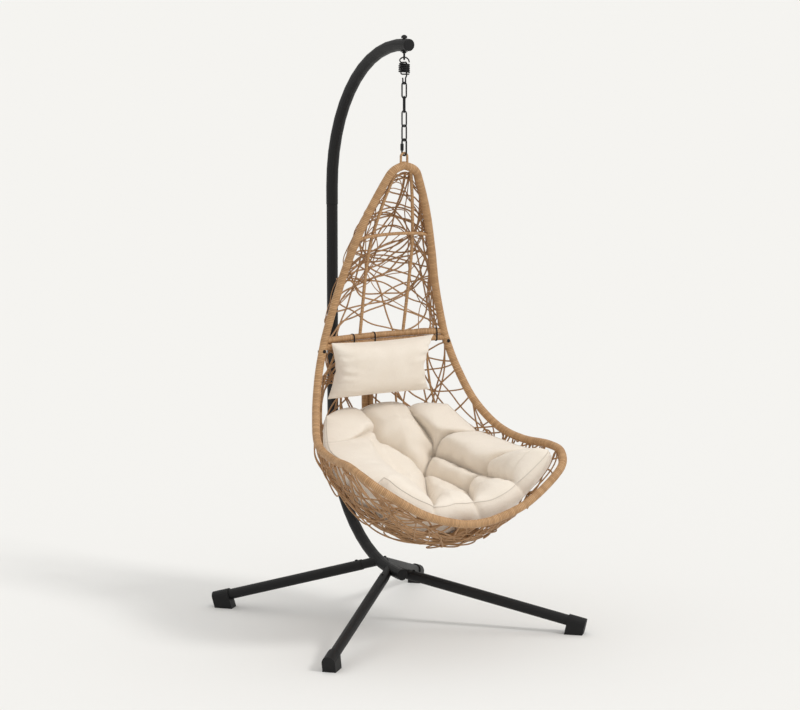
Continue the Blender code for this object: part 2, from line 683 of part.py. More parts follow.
def build_dome_nut():
    hole = EYE_SHANK_RADIUS + GAP
    room = NUT_HEIGHT * 0.80
    profile = (
        (0.0, NUT_HEIGHT + NUT_DOME),
        (NUT_RADIUS * 0.50, NUT_HEIGHT + NUT_DOME * 0.75),
        (NUT_RADIUS * 0.80, NUT_HEIGHT + NUT_DOME * 0.25),
        (NUT_RADIUS, NUT_HEIGHT * 0.90),
        (NUT_RADIUS, 0.0),
        (hole, 0.0),
        (hole, room + WASHER_THICKNESS),
        (0.0, room + WASHER_THICKNESS + 0.001),
    )
    return turned_shape("eye_bolt_nut", profile, "dark_steel", (0.0, 0.0, ARM_HEIGHT + UPPER_TUBE_RADIUS + GAP))


def build_coil():
    """Compression coil between the two drawbars, as one tube from a formula."""
    count = int(round(COIL_TURNS * COIL_POINTS)) + 1
    start = math.radians(UPPER_HOOK_TURN)
    points = []
    for turn in np.linspace(0.0, COIL_TURNS, count):
        angle = start + 2.0 * math.pi * turn
        height = COIL_BOTTOM + COIL_PITCH * turn
        points.append((COIL_RADIUS * math.cos(angle), COIL_RADIUS * math.sin(angle), height))
    print("coil_spring least gap to itself: %.2f mm" % (coil_gap(np.array(points)) * 1000.0))
    return tube("coil_spring", points, COIL_WIRE, "dark_steel", WIRE_SIDES)


def coil_gap(points):
    """Least gap between points at least half a turn apart along the coil."""
    apart = np.linalg.norm(points[:, None, :] - points[None, :, :], axis=2)
    steps = np.abs(np.arange(len(points))[:, None] - np.arange(len(points))[None, :])
    return apart[steps >= COIL_POINTS // 2].min() - 2.0 * COIL_WIRE


def build_upper_drawbar():
    """Foot under the coil, shank inside it, and an open hook over the eye."""
    flat = [(COIL_RADIUS, UPPER_FOOT_HEIGHT), (0.0, UPPER_FOOT_HEIGHT)]
    flat += arc((-SHANK_OFFSET + 0.004, UPPER_FOOT_HEIGHT + 0.004), 0.004, 270.0, 180.0, 4)
    flat.append((-SHANK_OFFSET, COIL_TOP + 0.0030))
    flat.append((-SHANK_OFFSET - 0.0015, COIL_TOP + 0.0065))
    flat += arc((0.0, UPPER_HOOK_CENTRE), UPPER_HOOK_RADIUS, 155.0, -2.0, 12)
    return tube("spring_upper_drawbar", turned(flat, UPPER_HOOK_TURN), DRAWBAR_WIRE, "dark_steel", WIRE_SIDES)


def build_lower_drawbar():
    """Foot over the coil, shank down through it, and an open hook for the chain."""
    flat = [(-COIL_RADIUS, LOWER_FOOT_HEIGHT), (0.0, LOWER_FOOT_HEIGHT)]
    flat += arc((SHANK_OFFSET - 0.004, LOWER_FOOT_HEIGHT - 0.004), 0.004, 90.0, 0.0, 4)
    flat.append((SHANK_OFFSET, UPPER_FOOT_HEIGHT - 0.006))
    flat.append((LOWER_HOOK_RADIUS, UPPER_FOOT_HEIGHT - 0.013))
    flat += arc((0.0, LOWER_HOOK_CENTRE), LOWER_HOOK_RADIUS, 0.0, -180.0, 9)
    flat.append((-LOWER_HOOK_RADIUS, LOWER_HOOK_CENTRE + 0.010))
    flat.append((-LOWER_HOOK_RADIUS - 0.0015, LOWER_HOOK_CENTRE + 0.014))
    return tube("spring_lower_drawbar", turned(flat, LOWER_HOOK_TURN), DRAWBAR_WIRE, "dark_steel", WIRE_SIDES)


def link_outline(top, length, width, wire, bend_points=7):
    """Closed centre line of a chain link, (sideways, height), from its top."""
    radius = width / 2.0 - wire
    high = top - radius
    low = top - (length - 2.0 * wire) + radius
    upper = arc((0.0, high), radius, 0.0, 180.0, bend_points)
    lower = arc((0.0, low), radius, 180.0, 360.0, bend_points)
    return upper + lower


def build_chain():
    links = []
    for index, (top, turn) in enumerate(zip(LINK_TOPS, LINK_TURNS), start=1):
        outline = link_outline(top, LINK_LENGTH, LINK_WIDTH, LINK_WIRE)
        name = "chain_link_%d" % index
        links.append(tube(name, turned(outline, turn), LINK_WIRE, "dark_steel", WIRE_SIDES, closed=True))
    return links


def build_quick_link():
    """Open link: its mouth is in the middle of one side, inside the sleeve nut."""
    radius = QUICK_WIDTH / 2.0 - QUICK_WIRE
    middle = QUICK_TOP - QUICK_REACH / 2.0
    outline = [(-radius, middle + QUICK_MOUTH / 2.0)]
    outline += arc((0.0, QUICK_TOP - radius), radius, 180.0, 0.0, 7)
    outline += arc((0.0, QUICK_BOTTOM + radius), radius, 0.0, -180.0, 7)
    outline.append((-radius, middle - QUICK_MOUTH / 2.0))
    link = tube("quick_link", turned(outline, QUICK_TURN), QUICK_WIRE, "dark_steel", 8)
    low, high = turned([(-radius, middle - QUICK_NUT_LENGTH / 2.0), (-radius, middle + QUICK_NUT_LENGTH / 2.0)],
                       QUICK_TURN)
    nut = hex_nut("quick_link_nut", low, high, QUICK_NUT_RADIUS, QUICK_WIRE, "dark_steel")
    return link, nut


def hex_nut(name, low, high, radius, shank, material):
    """Six-sided nut between two points, bored for a shank."""
    nut = rod(name, low, high, radius, material, 6)
    over = (Vector(high) - Vector(low)) * 0.2
    bore = rod(name + "_bore", Vector(low) - over, Vector(high) + over, shank + 2.0 * GAP, None, 12)
    cut(nut, bore)
    return nut


# ================================================================ basket shell
def basket_point(place):
    """(half width, behind the hang line, drop) as a point of the part."""
    return np.array([place[0], place[1], APEX_HEIGHT - place[2]])


@functools.lru_cache(maxsize=None)
def rim_half():
    """Centre line of both rims' left half, from the apex round to the middle of the front."""
    return smooth_path([basket_point(place) for place in RIM_OUTLINE], 400)


def lap_points():
    """Where the joint lies along the rims' half, and how many points the lap takes on each side."""
    half = rim_half()
    joint = int(np.argmax(half[:, 2] < JOINT_HEIGHT))
    step = np.linalg.norm(half[joint] - half[joint - 1])
    return joint, int(round(LAP_LENGTH / step))


def rim_parts():
    """The same line as two stretches that lie side by side in the half-lap."""
    half = rim_half()
    joint, lap = lap_points()
    return half[:joint + lap + 1], half[joint - lap:]


def lap_reach():
    """From the joint's centre to the end of a rim, past the rounding of the lap to whole points."""
    half = rim_half()
    joint, lap = lap_points()
    above = np.linalg.norm(half[joint] - half[joint - lap])
    below = np.linalg.norm(half[joint] - half[joint + lap])
    return max(above, below) + 2.0 * GAP


def joint_frame(side):
    """Centre of the half-lap, the direction down the tube and the direction to the front."""
    half = rim_half()
    joint = int(np.argmax(half[:, 2] < JOINT_HEIGHT))
    centre = Vector(half[joint])
    down = (Vector(half[joint + 6]) - Vector(half[joint - 6])).normalized()
    centre.x *= side
    down.x *= side
    front = (Vector((0.0, -1.0, 0.0)) + down * down.y).normalized()
    return centre, down, front


def bar_place(aside, height):
    """Point on a bowed cross bar."""
    end = rim_point(UPPER_BAR_HEIGHT)
    return np.array([aside, end[1] + BAR_BOW * (1.0 - (aside / end[0]) ** 2), height])


@functools.lru_cache(maxsize=None)
def rim_point(height):
    """Point of the rims' left half at a height."""
    half = rim_half()
    upper = half[:int(np.argmax(half[:, 2] < JOINT_HEIGHT)) + 10]
    return upper[np.argmin(np.abs(upper[:, 2] - height))]


def bar_edge(height, turn_up):
    """Edge of a shell along a cross bar, as half of it from the middle out to the rim."""
    rise = math.sqrt(BAR_OFFSET ** 2 - EDGE_BACK ** 2)
    level = height + (rise if turn_up else -rise)
    end = rim_point(level)
    wide = end[0] - WEAVE_OFFSET * 1.03
    places = []
    for aside in np.linspace(0.0, wide, 60):
        place = bar_place(aside, level)
        place[1] += EDGE_BACK
        places.append(place)
    return np.array(places)


def set_off(curve, towards, distance):
    """A curve moved squarely to itself, to the side that the other curve lies on."""
    along = np.gradient(curve, axis=0)
    along /= np.linalg.norm(along, axis=1)[:, None]
    way = towards - curve
    way[:, 0] = 0.0
    way -= along * np.sum(way * along, axis=1)[:, None]
    way /= np.linalg.norm(way, axis=1)[:, None]
    return curve + way * distance


class Shell:
    """Curved surface between two side rims, a straight end and a curved end.

    share runs along the middle line, across runs from -1 to 1 between the sides.
    """

    def __init__(self, side, offset, middle, near_edge, far_edge, fullness, flat, boxy, blend_from):
        towards = np.array([point_on(middle, share) for share in np.linspace(0.0, 1.0, len(side))])
        self.edge = set_off(side, towards, offset)
        self.middle = middle
        self.near_edge = near_edge
        self.far_edge = far_edge
        self.fullness = math.radians(fullness)
        self.flat = flat
        self.boxy = boxy
        self.blend_from = blend_from

    def section(self, share, across):
        edge = point_on(self.edge, share)
        mid = point_on(self.middle, share)
        angle = abs(across) * self.fullness
        whole = 1.0 - max(math.cos(self.fullness), 0.0) ** self.flat
        rise = (1.0 - max(math.cos(angle), 0.0) ** self.flat) / whole
        wide = edge[0] * self.spread(across)
        place = mid + (edge - mid) * rise
        place[0] = math.copysign(wide, across) if across else 0.0
        return place

    def spread(self, across):
        """Share of the half width at a share across."""
        return (math.sin(abs(across) * self.fullness) / math.sin(self.fullness)) ** self.boxy

    def point(self, share, across):
        place = self.section(share, across)
        place = place + self.pull(self.near_edge, self.spread(across), 0.0, across, 1.0 - share / 0.15)
        if self.far_edge is not None:
            late = (share - self.blend_from) / (1.0 - self.blend_from)
            place = place + self.pull(self.far_edge, abs(across), 1.0, across, late)
        return place

    def pull(self, edge, reach, share, across, amount):
        """Shift that brings the shell's end onto an edge, faded by amount."""
        weight = min(max(amount, 0.0), 1.0)
        weight = weight * weight * (3.0 - 2.0 * weight)
        wanted = point_on(edge, reach)
        wanted[0] = math.copysign(wanted[0], across) if across else 0.0
        return weight * (wanted - self.section(share, across))

    def normal(self, share, across):
        """Unit normal that points to the sitter's side."""
        step = 0.004
        along = self.point(min(share + step, 1.0), across) - self.point(max(share - step, 0.0), across)
        over = self.point(share, min(across + step, 1.0)) - self.point(share, max(across - step, -1.0))
        normal = np.cross(along, over)
        normal /= np.linalg.norm(normal)
        return normal

    def inside(self, share, across, distance):
        return self.point(share, across) + self.normal(share, across) * distance


def make_seat_shell():
    rim = rim_half()
    corner = int(np.argmax(rim[:, 2] < APEX_HEIGHT - CORNER_DROP))
    near = bar_edge(LOWER_BAR_HEIGHT, False)
    start = int(np.argmax(rim[:, 2] < near[-1][2]))
    side = resample(rim[start:corner + 1], 120)
    front = resample(rim[corner:], 80)[::-1].copy()
    front = set_off(front, front - np.array((0.0, 0.0, 1.0)), WEAVE_OFFSET + 0.0006)
    middle = [tuple(near[0])]
    middle += [(0.0, y, APEX_HEIGHT - drop) for y, drop in SEAT_MIDLINE]
    middle.append(tuple(front[0]))
    return Shell(side, WEAVE_OFFSET, smooth_path(middle, 160), near, front, 74.0, 1.0, 1.0, 0.70)


def make_back_shell():
    rim = rim_half()
    near = bar_edge(UPPER_BAR_HEIGHT, True)
    start = int(np.argmax(rim[:, 2] < near[-1][2]))
    end = int(np.argmax(rim[:, 0] > 0.048))
    side = resample(rim[end:start + 1][::-1], 120)
    middle = [tuple(near[0])]
    middle += [(0.0, y, APEX_HEIGHT - drop) for y, drop in BACK_MIDLINE]
    top = rim[end].copy()
    middle.append((0.0, top[1] + 0.022, top[2] + 0.004))
    return Shell(side, BACK_WEAVE_OFFSET, smooth_path(middle, 160), near, None, 90.0, 0.75, 0.85, 1.0)


def build_weave(name, shell, cells, seed, sag):
    """Open lattice of strands: a jittered grid on the shell, some cells crossed, made into wires."""
    down, across = cells
    dice = random.Random(seed)
    shape = bmesh.new()
    bmesh.ops.create_grid(shape, x_segments=down, y_segments=across, size=0.5)
    for corner in shape.verts:
        if abs(corner.co.x) < 0.5 - 0.5 / down:
            corner.co.x += dice.uniform(-1.0, 1.0) * WEAVE_JITTER / down
        if abs(corner.co.y) < 0.5 - 0.5 / across:
            corner.co.y += dice.uniform(-1.0, 1.0) * WEAVE_JITTER / across
    for face in list(shape.faces):
        if dice.random() < WEAVE_DIAGONALS:
            pair = dice.choice(((0, 2), (1, 3)))
            bmesh.ops.connect_verts(shape, verts=[face.verts[pair[0]], face.verts[pair[1]]])
    edge = [line for line in shape.edges if len(line.link_faces) == 1]
    sides = [line for line in edge if abs(line.verts[0].co.y) > 0.49 and abs(line.verts[1].co.y) > 0.49]
    sides += [line for line in edge if line.verts[0].co.x < -0.49 and line.verts[1].co.x < -0.49]
    bmesh.ops.subdivide_edges(shape, edges=sides, cuts=1)
    far = [line for line in edge if line.is_valid and line.verts[0].co.x > 0.49 and line.verts[1].co.x > 0.49]
    if shell.far_edge is not None:
        bmesh.ops.subdivide_edges(shape, edges=far, cuts=3)
    for corner in shape.verts:
        share = corner.co.x + 0.5
        across = corner.co.y * 2.0
        on_edge = abs(corner.co.x) > 0.49 or abs(corner.co.y) > 0.49
        corner.co = shell.point(share, across) if on_edge else shell.inside(share, across, -sag)
    bmesh.ops.recalc_face_normals(shape, faces=shape.faces)
    mesh = bpy.data.meshes.new(name)
    shape.to_mesh(mesh)
    shape.free()
    weave = add_object(name, mesh, "rattan_strand")
    wires = weave.modifiers.new("strands", "WIREFRAME")
    wires.thickness = 2.0 * STRAND_RADIUS
    wires.use_replace = True
    wires.use_boundary = True
    wires.use_even_offset = False
    return weave


# ================================================================ basket frame
def block(name, centre, along, front, low, high, near, far, width):
    """Box in a tube's own frame: from low to high along it and from near to far to its front."""
    aside = along.cross(front).normalized()
    shape = bmesh.new()
    bmesh.ops.create_cube(shape, size=1.0)
    middle = centre + along * (low + high) / 2.0 + front * (near + far) / 2.0
    axes = Matrix((aside * width, front * (far - near), along * (high - low))).transposed()
    bmesh.ops.transform(shape, matrix=Matrix.Translation(middle) @ axes.to_4x4(), verts=shape.verts)
    face_outward(shape)
    mesh = bpy.data.meshes.new(name)
    shape.to_mesh(mesh)
    shape.free()
    return add_object(name, mesh, None)


def build_rim(name, path, keep_front):
    """Rim whose two ends are halved into a lap and drilled for the joint bolts."""
    rim = tube_mesh(name, path, RIM_RADIUS, "wrapped_rattan", RIM_SIDES)
    reach = lap_reach()
    for side, label in ((1.0, "left"), (-1.0, "right")):
        centre, down, front = joint_frame(side)
        if keep_front:
            lap = block("%s_lap_%s" % (name, label), centre, down, front, -reach - 0.012,
                        reach, -0.030, GAP / 2.0, 0.06)
        else:
            lap = block("%s_lap_%s" % (name, label), centre, down, front, -reach,
                        reach + 0.012, -GAP / 2.0, 0.030, 0.06)
        cut(rim, lap)
        cut(rim, rod("%s_bolt_hole_%s" % (name, label), centre - front * 0.03, centre + front * 0.03,
                     BOLT_RADIUS + GAP, None, 12))
    return rim


def trim_to_rim(thing, upper, lower=False):
    """Shapes the ends of a bar or rib to the rim that they run into."""
    if upper:
        cut(thing, tube_mesh(thing.name + "_upper_seat", UPPER_PATH, RIM_RADIUS + GAP, None, RIM_SIDES))
    if lower:
        cut(thing, tube_mesh(thing.name + "_lower_seat", LOWER_PATH, RIM_RADIUS + GAP, None, RIM_SIDES))


def bar_path(height):
    end = rim_point(height)
    return [bar_place(aside, height) for aside in np.linspace(-end[0], end[0], 13)]


def build_bars():
    bars = []
    for name, height in (("upper_crossbar", UPPER_BAR_HEIGHT), ("lower_crossbar", LOWER_BAR_HEIGHT)):
        bar = tube_mesh(name, bar_path(height), BAR_RADIUS, "wrapped_rattan", RIM_SIDES)
        trim_to_rim(bar, True, name == "lower_crossbar")
        bars.append(bar)
    return bars


def build_loop():
    """Wrapped loop on the apex, its two legs standing on the rim."""
    rim = rim_half()
    foot = rim[int(np.argmax(rim[:, 0] > LOOP_RADIUS))]
    seat = foot[2]
    centre = LOOP_TOP - LOOP_RADIUS
    flat = [(LOOP_RADIUS, seat)] + arc((0.0, centre), LOOP_RADIUS, 0.0, 180.0, 9) + [(-LOOP_RADIUS, seat)]
    loop = tube_mesh("hanging_loop", [(x, foot[1], z) for x, z in flat], LOOP_WIRE, "wrapped_rattan", 8)
    trim_to_rim(loop, True)
    return loop


def build_back_ribs(shell):
    """Two ribs from the bar to the apex and one arched rib across them, on the sitter's side."""
    foot = bar_place(BACK_RIB_FOOT, UPPER_BAR_HEIGHT)
    middle = rim_point(APEX_HEIGHT - 0.30)
    upper = rim_point(APEX_HEIGHT - 0.14)
    ribs = []
    for side, label in ((1.0, "left"), (-1.0, "right")):
        knots = [
            (side * foot[0], foot[1] - 0.003, foot[2]),
            (side * BACK_RIB_FOOT, middle[1] + 0.008, middle[2]),
            (side * 0.058, upper[1] + 0.008, upper[2]),
            (side * 0.026, 0.002, APEX_HEIGHT - 0.012),
        ]
        path = smooth_path(knots, 14)
        rib = tube_mesh("back_rib_" + label, path, RIB_RADIUS, "wrapped_rattan", WIRE_SIDES)
        cut(rib, tube_mesh("back_rib_%s_bar_seat" % label, bar_path(UPPER_BAR_HEIGHT), BAR_RADIUS + GAP,
                           None, RIM_SIDES))
        trim_to_rim(rib, True)
        ribs.append(rib)
    height = APEX_HEIGHT - ARCH_RIB_DROP
    level = rim_point(height - 0.014)
    crossing = path[np.argmin(np.abs(path[:, 2] - height))]
    forward = crossing[1] - 2.0 * RIB_RADIUS - 2.0 * CHAIN_GAP
    wide = level[0]
    knots = [(-wide, level[1], level[2]), (-wide * 0.66, forward, height - 0.004), (0.0, forward, height),
             (wide * 0.66, forward, height - 0.004), (wide, level[1], level[2])]
    arch = tube_mesh("back_rib_arch", smooth_path(knots, 13), RIB_RADIUS, "wrapped_rattan", WIRE_SIDES)
    trim_to_rim(arch, True)
    ribs.append(arch)
    return ribs


def build_seat_ribs(shell):
    """Four ribs inside the weave, from the back under the seat to the front rim."""
    ribs = []
    lift = STRAND_RADIUS + GAP + SEAT_RIB_RADIUS + RIB_LIFT
    for index, across in enumerate(SEAT_RIB_SHARES, start=1):
        path = [shell.inside(share, across, lift) for share in np.linspace(0.0, 1.0, 23)]
        path[0] = bar_place(path[0][0], LOWER_BAR_HEIGHT) - np.array((0.0, 0.003, 0.0))
        path[-1] = path[-1] + np.array((0.0, 0.0, WEAVE_OFFSET - lift))
        name = "seat_rib_%d" % index
        rib = tube_mesh(name, path, SEAT_RIB_RADIUS, "wrapped_rattan", WIRE_SIDES)
        cut(rib, tube_mesh(name + "_bar_seat", bar_path(LOWER_BAR_HEIGHT), BAR_RADIUS + GAP, None, RIM_SIDES))
        trim_to_rim(rib, False, True)
        ribs.append(rib)
    return ribs


def build_posts(shell):
    """Pair of posts side by side, from the lower cross bar down the back and under the seat."""
    lift = STRAND_RADIUS + GAP + POST_RADIUS + RIB_LIFT + POST_LIFT
    posts = []
    for side, label in ((1.0, "left"), (-1.0, "right")):
        path = [shell.inside(share, 0.0, lift) for share in np.linspace(0.0, 1.0, 25)]
        path[0] = bar_place(0.0, LOWER_BAR_HEIGHT) - np.array((0.0, 0.003, 0.0))
        path[-1] = path[-1] + np.array((0.0, 0.0, WEAVE_OFFSET - lift))
        for place in path:
            place[0] = side * (POST_RADIUS + GAP / 2.0)
        name = "back_post_" + label
        post = tube_mesh(name, path, POST_RADIUS, "wrapped_rattan", 8)
        cut(post, tube_mesh(name + "_bar_seat", bar_path(LOWER_BAR_HEIGHT), BAR_RADIUS + GAP, None, RIM_SIDES))
        trim_to_rim(post, False, True)
        posts.append(post)
    return posts


def build_joint_bolts():
    """Bolt from the front through each half-lap, and its nut on the back."""
    pieces = []
    for side, label in ((1.0, "left"), (-1.0, "right")):
        centre, _down, front = joint_frame(side)
        reach = 2.0 * RIM_RADIUS + BOLT_NUT_HEIGHT + 3.0 * GAP
        profile = (
            (0.0, BOLT_HEAD_HEIGHT),
            (BOLT_HEAD_RADIUS * 0.70, BOLT_HEAD_HEIGHT * 0.85),
            (BOLT_HEAD_RADIUS, BOLT_HEAD_HEIGHT * 0.25),
            (BOLT_HEAD_RADIUS, 0.0),
            (BOLT_RADIUS, 0.0),
            (BOLT_RADIUS, -reach),
            (0.0, -reach),
        )
        bolt = turned_shape("joint_bolt_" + label, profile, "black_steel",
                            centre + front * (RIM_RADIUS + GAP), 12)
        bolt.rotation_mode = "QUATERNION"
        bolt.rotation_quaternion = front.to_track_quat("Z", "Y")
        near = centre - front * (RIM_RADIUS + GAP)
        nut = hex_nut("joint_nut_" + label, near - front * BOLT_NUT_HEIGHT, near, BOLT_NUT_RADIUS,
                      BOLT_RADIUS, "black_steel")
        pieces += [bolt, nut]
    return pieces


def build_ties():
    """Flat black ties round both cross bars."""
    centre_z = (UPPER_BAR_HEIGHT + LOWER_BAR_HEIGHT) / 2.0
    apart = UPPER_BAR_HEIGHT - LOWER_BAR_HEIGHT
    ties = []
    for index, spot in enumerate(TIE_SPOTS, start=1):
        outline = arc((0.0, apart / 2.0), BAR_RADIUS + 2.0 * GAP, 0.0, 180.0, 9)
        outline += arc((0.0, -apart / 2.0), BAR_RADIUS + 2.0 * GAP, 180.0, 360.0, 9)
        centre = Vector(bar_place(spot, centre_z))
        ahead = (Vector(bar_place(spot + 0.005, centre_z)) - centre).normalized()
        side = Vector((-ahead.y, ahead.x, 0.0))
        start = centre - ahead * TIE_WIDTH / 2.0
        shape = bmesh.new()
        corners = [shape.verts.new(start + side * y + Vector((0.0, 0.0, z))) for y, z in outline]
        edges = [shape.edges.new((first, second)) for first, second in zip(corners, corners[1:] + corners[:1])]
        swept = bmesh.ops.extrude_edge_only(shape, edges=edges)["geom"]
        moved = [part for part in swept if isinstance(part, bmesh.types.BMVert)]
        bmesh.ops.translate(shape, verts=moved, vec=ahead * TIE_WIDTH)
        bmesh.ops.recalc_face_normals(shape, faces=shape.faces)
        mesh = bpy.data.meshes.new("bar_tie_%d" % index)
        shape.to_mesh(mesh)
        shape.free()
        tie = add_object("bar_tie_%d" % index, mesh, "black_plastic")
        wall = tie.modifiers.new("thickness", "SOLIDIFY")
        wall.thickness = TIE_THICKNESS
        wall.offset = 1.0
        ties.append(tie)
    return ties


# ================================================================ cushions
def sphere_shape(segments, rings):
    shape = bmesh.new()
    bmesh.ops.create_uvsphere(shape, u_segments=segments, v_segments=rings, radius=1.0)
    return shape


def frame_clearance(width):
    """How far the cushion's underside stays off the shell, at a distance from the middle."""
    ribs = STRAND_RADIUS + 2.0 * SEAT_RIB_RADIUS + GAP + RIB_LIFT + CUSHION_REST
    posts = STRAND_RADIUS + 2.0 * POST_RADIUS + GAP + RIB_LIFT + POST_LIFT + 1.5 * CUSHION_REST
    beside = max(abs(width) - 2.0 * POST_RADIUS - 0.020, 0.0)
    return ribs + (posts - ribs) * math.exp(-(beside / 0.034) ** 2)


def tuft_depth(radius, angle):
    """0 on a lobe's crown, up to 1 in a sewn channel."""
    ring_channel = math.exp(-((radius - CUSHION_RING) / 0.085) ** 2)
    lobe = angle / (2.0 * math.pi) * CUSHION_LOBES
    off_seam = (lobe - round(lobe)) * 2.0 * math.pi / CUSHION_LOBES * max(radius, 0.05)
    seam = math.exp(-(off_seam / 0.075) ** 2)
    seam *= min(max((radius - CUSHION_RING) / 0.12, 0.0), 1.0)
    return min(max(ring_channel * 0.75, seam * 0.85), 1.0)


def build_cushion(shell):
    """Thick round seat cushion that lies in the shell, with a tufted middle panel and eight lobes."""
    shape = sphere_shape(40, 18)
    for corner in shape.verts:
        radius = min(math.hypot(corner.co.x, corner.co.y), 1.0)
        angle = math.atan2(corner.co.y, corner.co.x)
        crown = abs(corner.co.z) ** 0.55
        in_front = math.cos(angle) > 0.0
        reach = CUSHION_FRONT_REACH if in_front else CUSHION_BACK_REACH
        power = CUSHION_FRONT_SQUARENESS if in_front else CUSHION_BACK_SQUARENESS
        corner_sum = abs(math.cos(angle)) ** power + abs(math.sin(angle)) ** power
        spread = radius / corner_sum ** (radius / power)
        share = CUSHION_CENTRE + reach * spread * math.cos(angle)
        across = CUSHION_SIDE_REACH * spread * math.sin(angle)
        base = shell.point(share, across)
        rest = frame_clearance(base[0])
        middle = CUSHION_EDGE * (1.0 - CUSHION_SIDE_THINNING * math.sin(angle) ** 2)
        if corner.co.z > 0.0:
            puff = CUSHION_THICKNESS * (1.0 - 0.42 * tuft_depth(radius, angle))
            height = rest + middle + (puff - middle) * crown
        else:
            height = rest + middle * (1.0 - crown)
        corner.co = shell.inside(share, across, height)
    face_outward(shape)
    mesh = bpy.data.meshes.new("seat_cushion")
    shape.to_mesh(mesh)
    shape.free()
    cushion = add_object("seat_cushion", mesh, "cream_fabric")
    smooth_shade(cushion, 80.0)
    return cushion


def build_pillow():
    """Head pillow: a crowned form with pointed corners and pinched sides, leaning on the cross bars."""
    shape = sphere_shape(40, 12)
    lean = Matrix.Rotation(math.radians(PILLOW_LEAN), 4, "X")
    height = APEX_HEIGHT - PILLOW_DROP
    for corner in shape.verts:
        radius = min(math.hypot(corner.co.x, corner.co.y), 1.0)
        angle = math.atan2(corner.co.y, corner.co.x)
        square = radius / max(abs(math.cos(angle)), abs(math.sin(angle)))
        a = square * math.cos(angle)
        b = square * math.sin(angle)
        drawn_in = 1.0 if a > 0.0 else 0.35
        pinch = 1.0 - 0.10 * drawn_in * abs(a) * (1.0 - b * b)
        pinch -= 0.05 * drawn_in * math.exp(-(b / 0.18) ** 2) * abs(a) ** 3
        sag = 1.0 - 0.07 * abs(b) * (1.0 - a * a)
        puff = ((1.0 - a ** 4) * (1.0 - b ** 4)) ** 0.5
        depth = PILLOW_THICKNESS * puff * (0.66 if corner.co.z > 0.0 else 0.34)
        local = Vector((a * pinch * PILLOW_WIDTH / 2.0, 0.0, b * sag * PILLOW_HEIGHT / 2.0))
        local.y = -depth * math.copysign(1.0, corner.co.z) if abs(corner.co.z) > 1e-6 else 0.0
        corner.co = lean @ local + Vector((PILLOW_ASIDE, 0.0, height))
    samples = [corner.co for corner in shape.verts]
    samples += [(line.verts[0].co + line.verts[1].co) / 2.0 for line in shape.edges]
    samples += [face.calc_center_median() for face in shape.faces]
    back = min(room_to_bars(place) for place in samples)
    bmesh.ops.translate(shape, verts=shape.verts, vec=(0.0, back, 0.0))
    face_outward(shape)
    mesh = bpy.data.meshes.new("head_pillow")
    shape.to_mesh(mesh)
    shape.free()
    pillow = add_object("head_pillow", mesh, "cream_fabric")
    smooth_shade(pillow, 80.0)
    return pillow


def room_to_bars(place):
    """How far a point can move rearward before it meets a cross bar."""
    room = 1.0
    for height in (UPPER_BAR_HEIGHT, LOWER_BAR_HEIGHT):
        reach = BAR_RADIUS + CUSHION_REST
        off = abs(place.z - height)
        if off < reach:
            face = math.sqrt(reach ** 2 - off ** 2)
            room = min(room, bar_place(place.x, height)[1] - face - place.y)
    return room


# ================================================================ the whole part
def joint_empty(name, place, parent):
    """An empty on a joint's axis, which carries the pieces that move with it."""
    empty = bpy.data.objects.new(name, None)
    PART.objects.link(empty)
    empty.empty_display_size = 0.05
    empty.location = Vector(place) - (parent["place"] if parent else Vector())
    if parent:
        empty.parent = parent["empty"]
    return {"empty": empty, "place": Vector(place)}


def carry(joint, pieces):
    """Parents pieces to a joint's empty and leaves them where they are."""
    for piece in pieces:
        piece.parent = joint["empty"]
        piece.matrix_parent_inverse = Matrix.Translation(-joint["place"])


def rear_reach():
    """Furthest point of the rear boots behind the hang line."""
    _start, along, _length = leg_line(1.0, False)
    flat = Vector((along.x, along.y, 0.0)).normalized()
    return REAR_FOOT[1] + BOOT_PAST_FOOT * flat.y + BOOT_WIDTH / 2.0 * flat.x


def front_reach():
    return -RIM_OUTLINE[-1][1] + RIM_RADIUS


def main():
    root = joint_empty("chair_origin", (0.0, 0.0, 0.0), None)
    carry(root, build_stand())
    carry(root, [build_eye_bolt(), build_washer(), build_dome_nut()])
    swing = joint_empty("swing_axis", (0.0, 0.0, EYE_BOTTOM + EYE_WIRE + GAP / 2.0), root)
    carry(swing, [build_upper_drawbar(), build_coil()])
    bounce = joint_empty("bounce_axis", (0.0, 0.0, COIL_TOP), swing)
    carry(bounce, [build_lower_drawbar()])
    links = build_chain()
    joint = bounce
    for index, link in enumerate(links):
        name = "sway_axis" if index == 0 else "link_twist_axis_%d" % index
        joint = joint_empty(name, (0.0, 0.0, LINK_TOPS[index] - LINK_WIRE), joint)
        carry(joint, [link])
    joint = joint_empty("link_twist_axis_%d" % LINK_COUNT, (0.0, 0.0, QUICK_TOP - QUICK_WIRE), joint)
    carry(joint, build_quick_link())
    turn = joint_empty("basket_turn_axis", (0.0, 0.0, LOOP_TOP - LOOP_WIRE), joint)
    back_shell = make_back_shell()
    seat_shell = make_seat_shell()
    carry(turn, [build_rim("upper_rim", UPPER_PATH, False), build_rim("lower_rim", LOWER_PATH, True)])
    carry(turn, build_bars() + build_ties() + build_joint_bolts() + [build_loop()])
    carry(turn, build_back_ribs(back_shell) + build_posts(seat_shell) + build_seat_ribs(seat_shell))
    carry(turn, [build_weave("upper_weave", back_shell, BACK_CELLS, WEAVE_SEED, 0.0)])
    carry(turn, [build_weave("lower_weave", seat_shell, SEAT_CELLS, WEAVE_SEED + 1, STRAND_SAG)])
    carry(turn, [build_cushion(seat_shell), build_pillow()])
    for cutter in CUTTERS.objects:
        cutter.parent = root["empty"]
    root["empty"].location.y = (front_reach() - rear_reach()) / 2.0
    print("hang line at y = %.5f" % root["empty"].location.y)


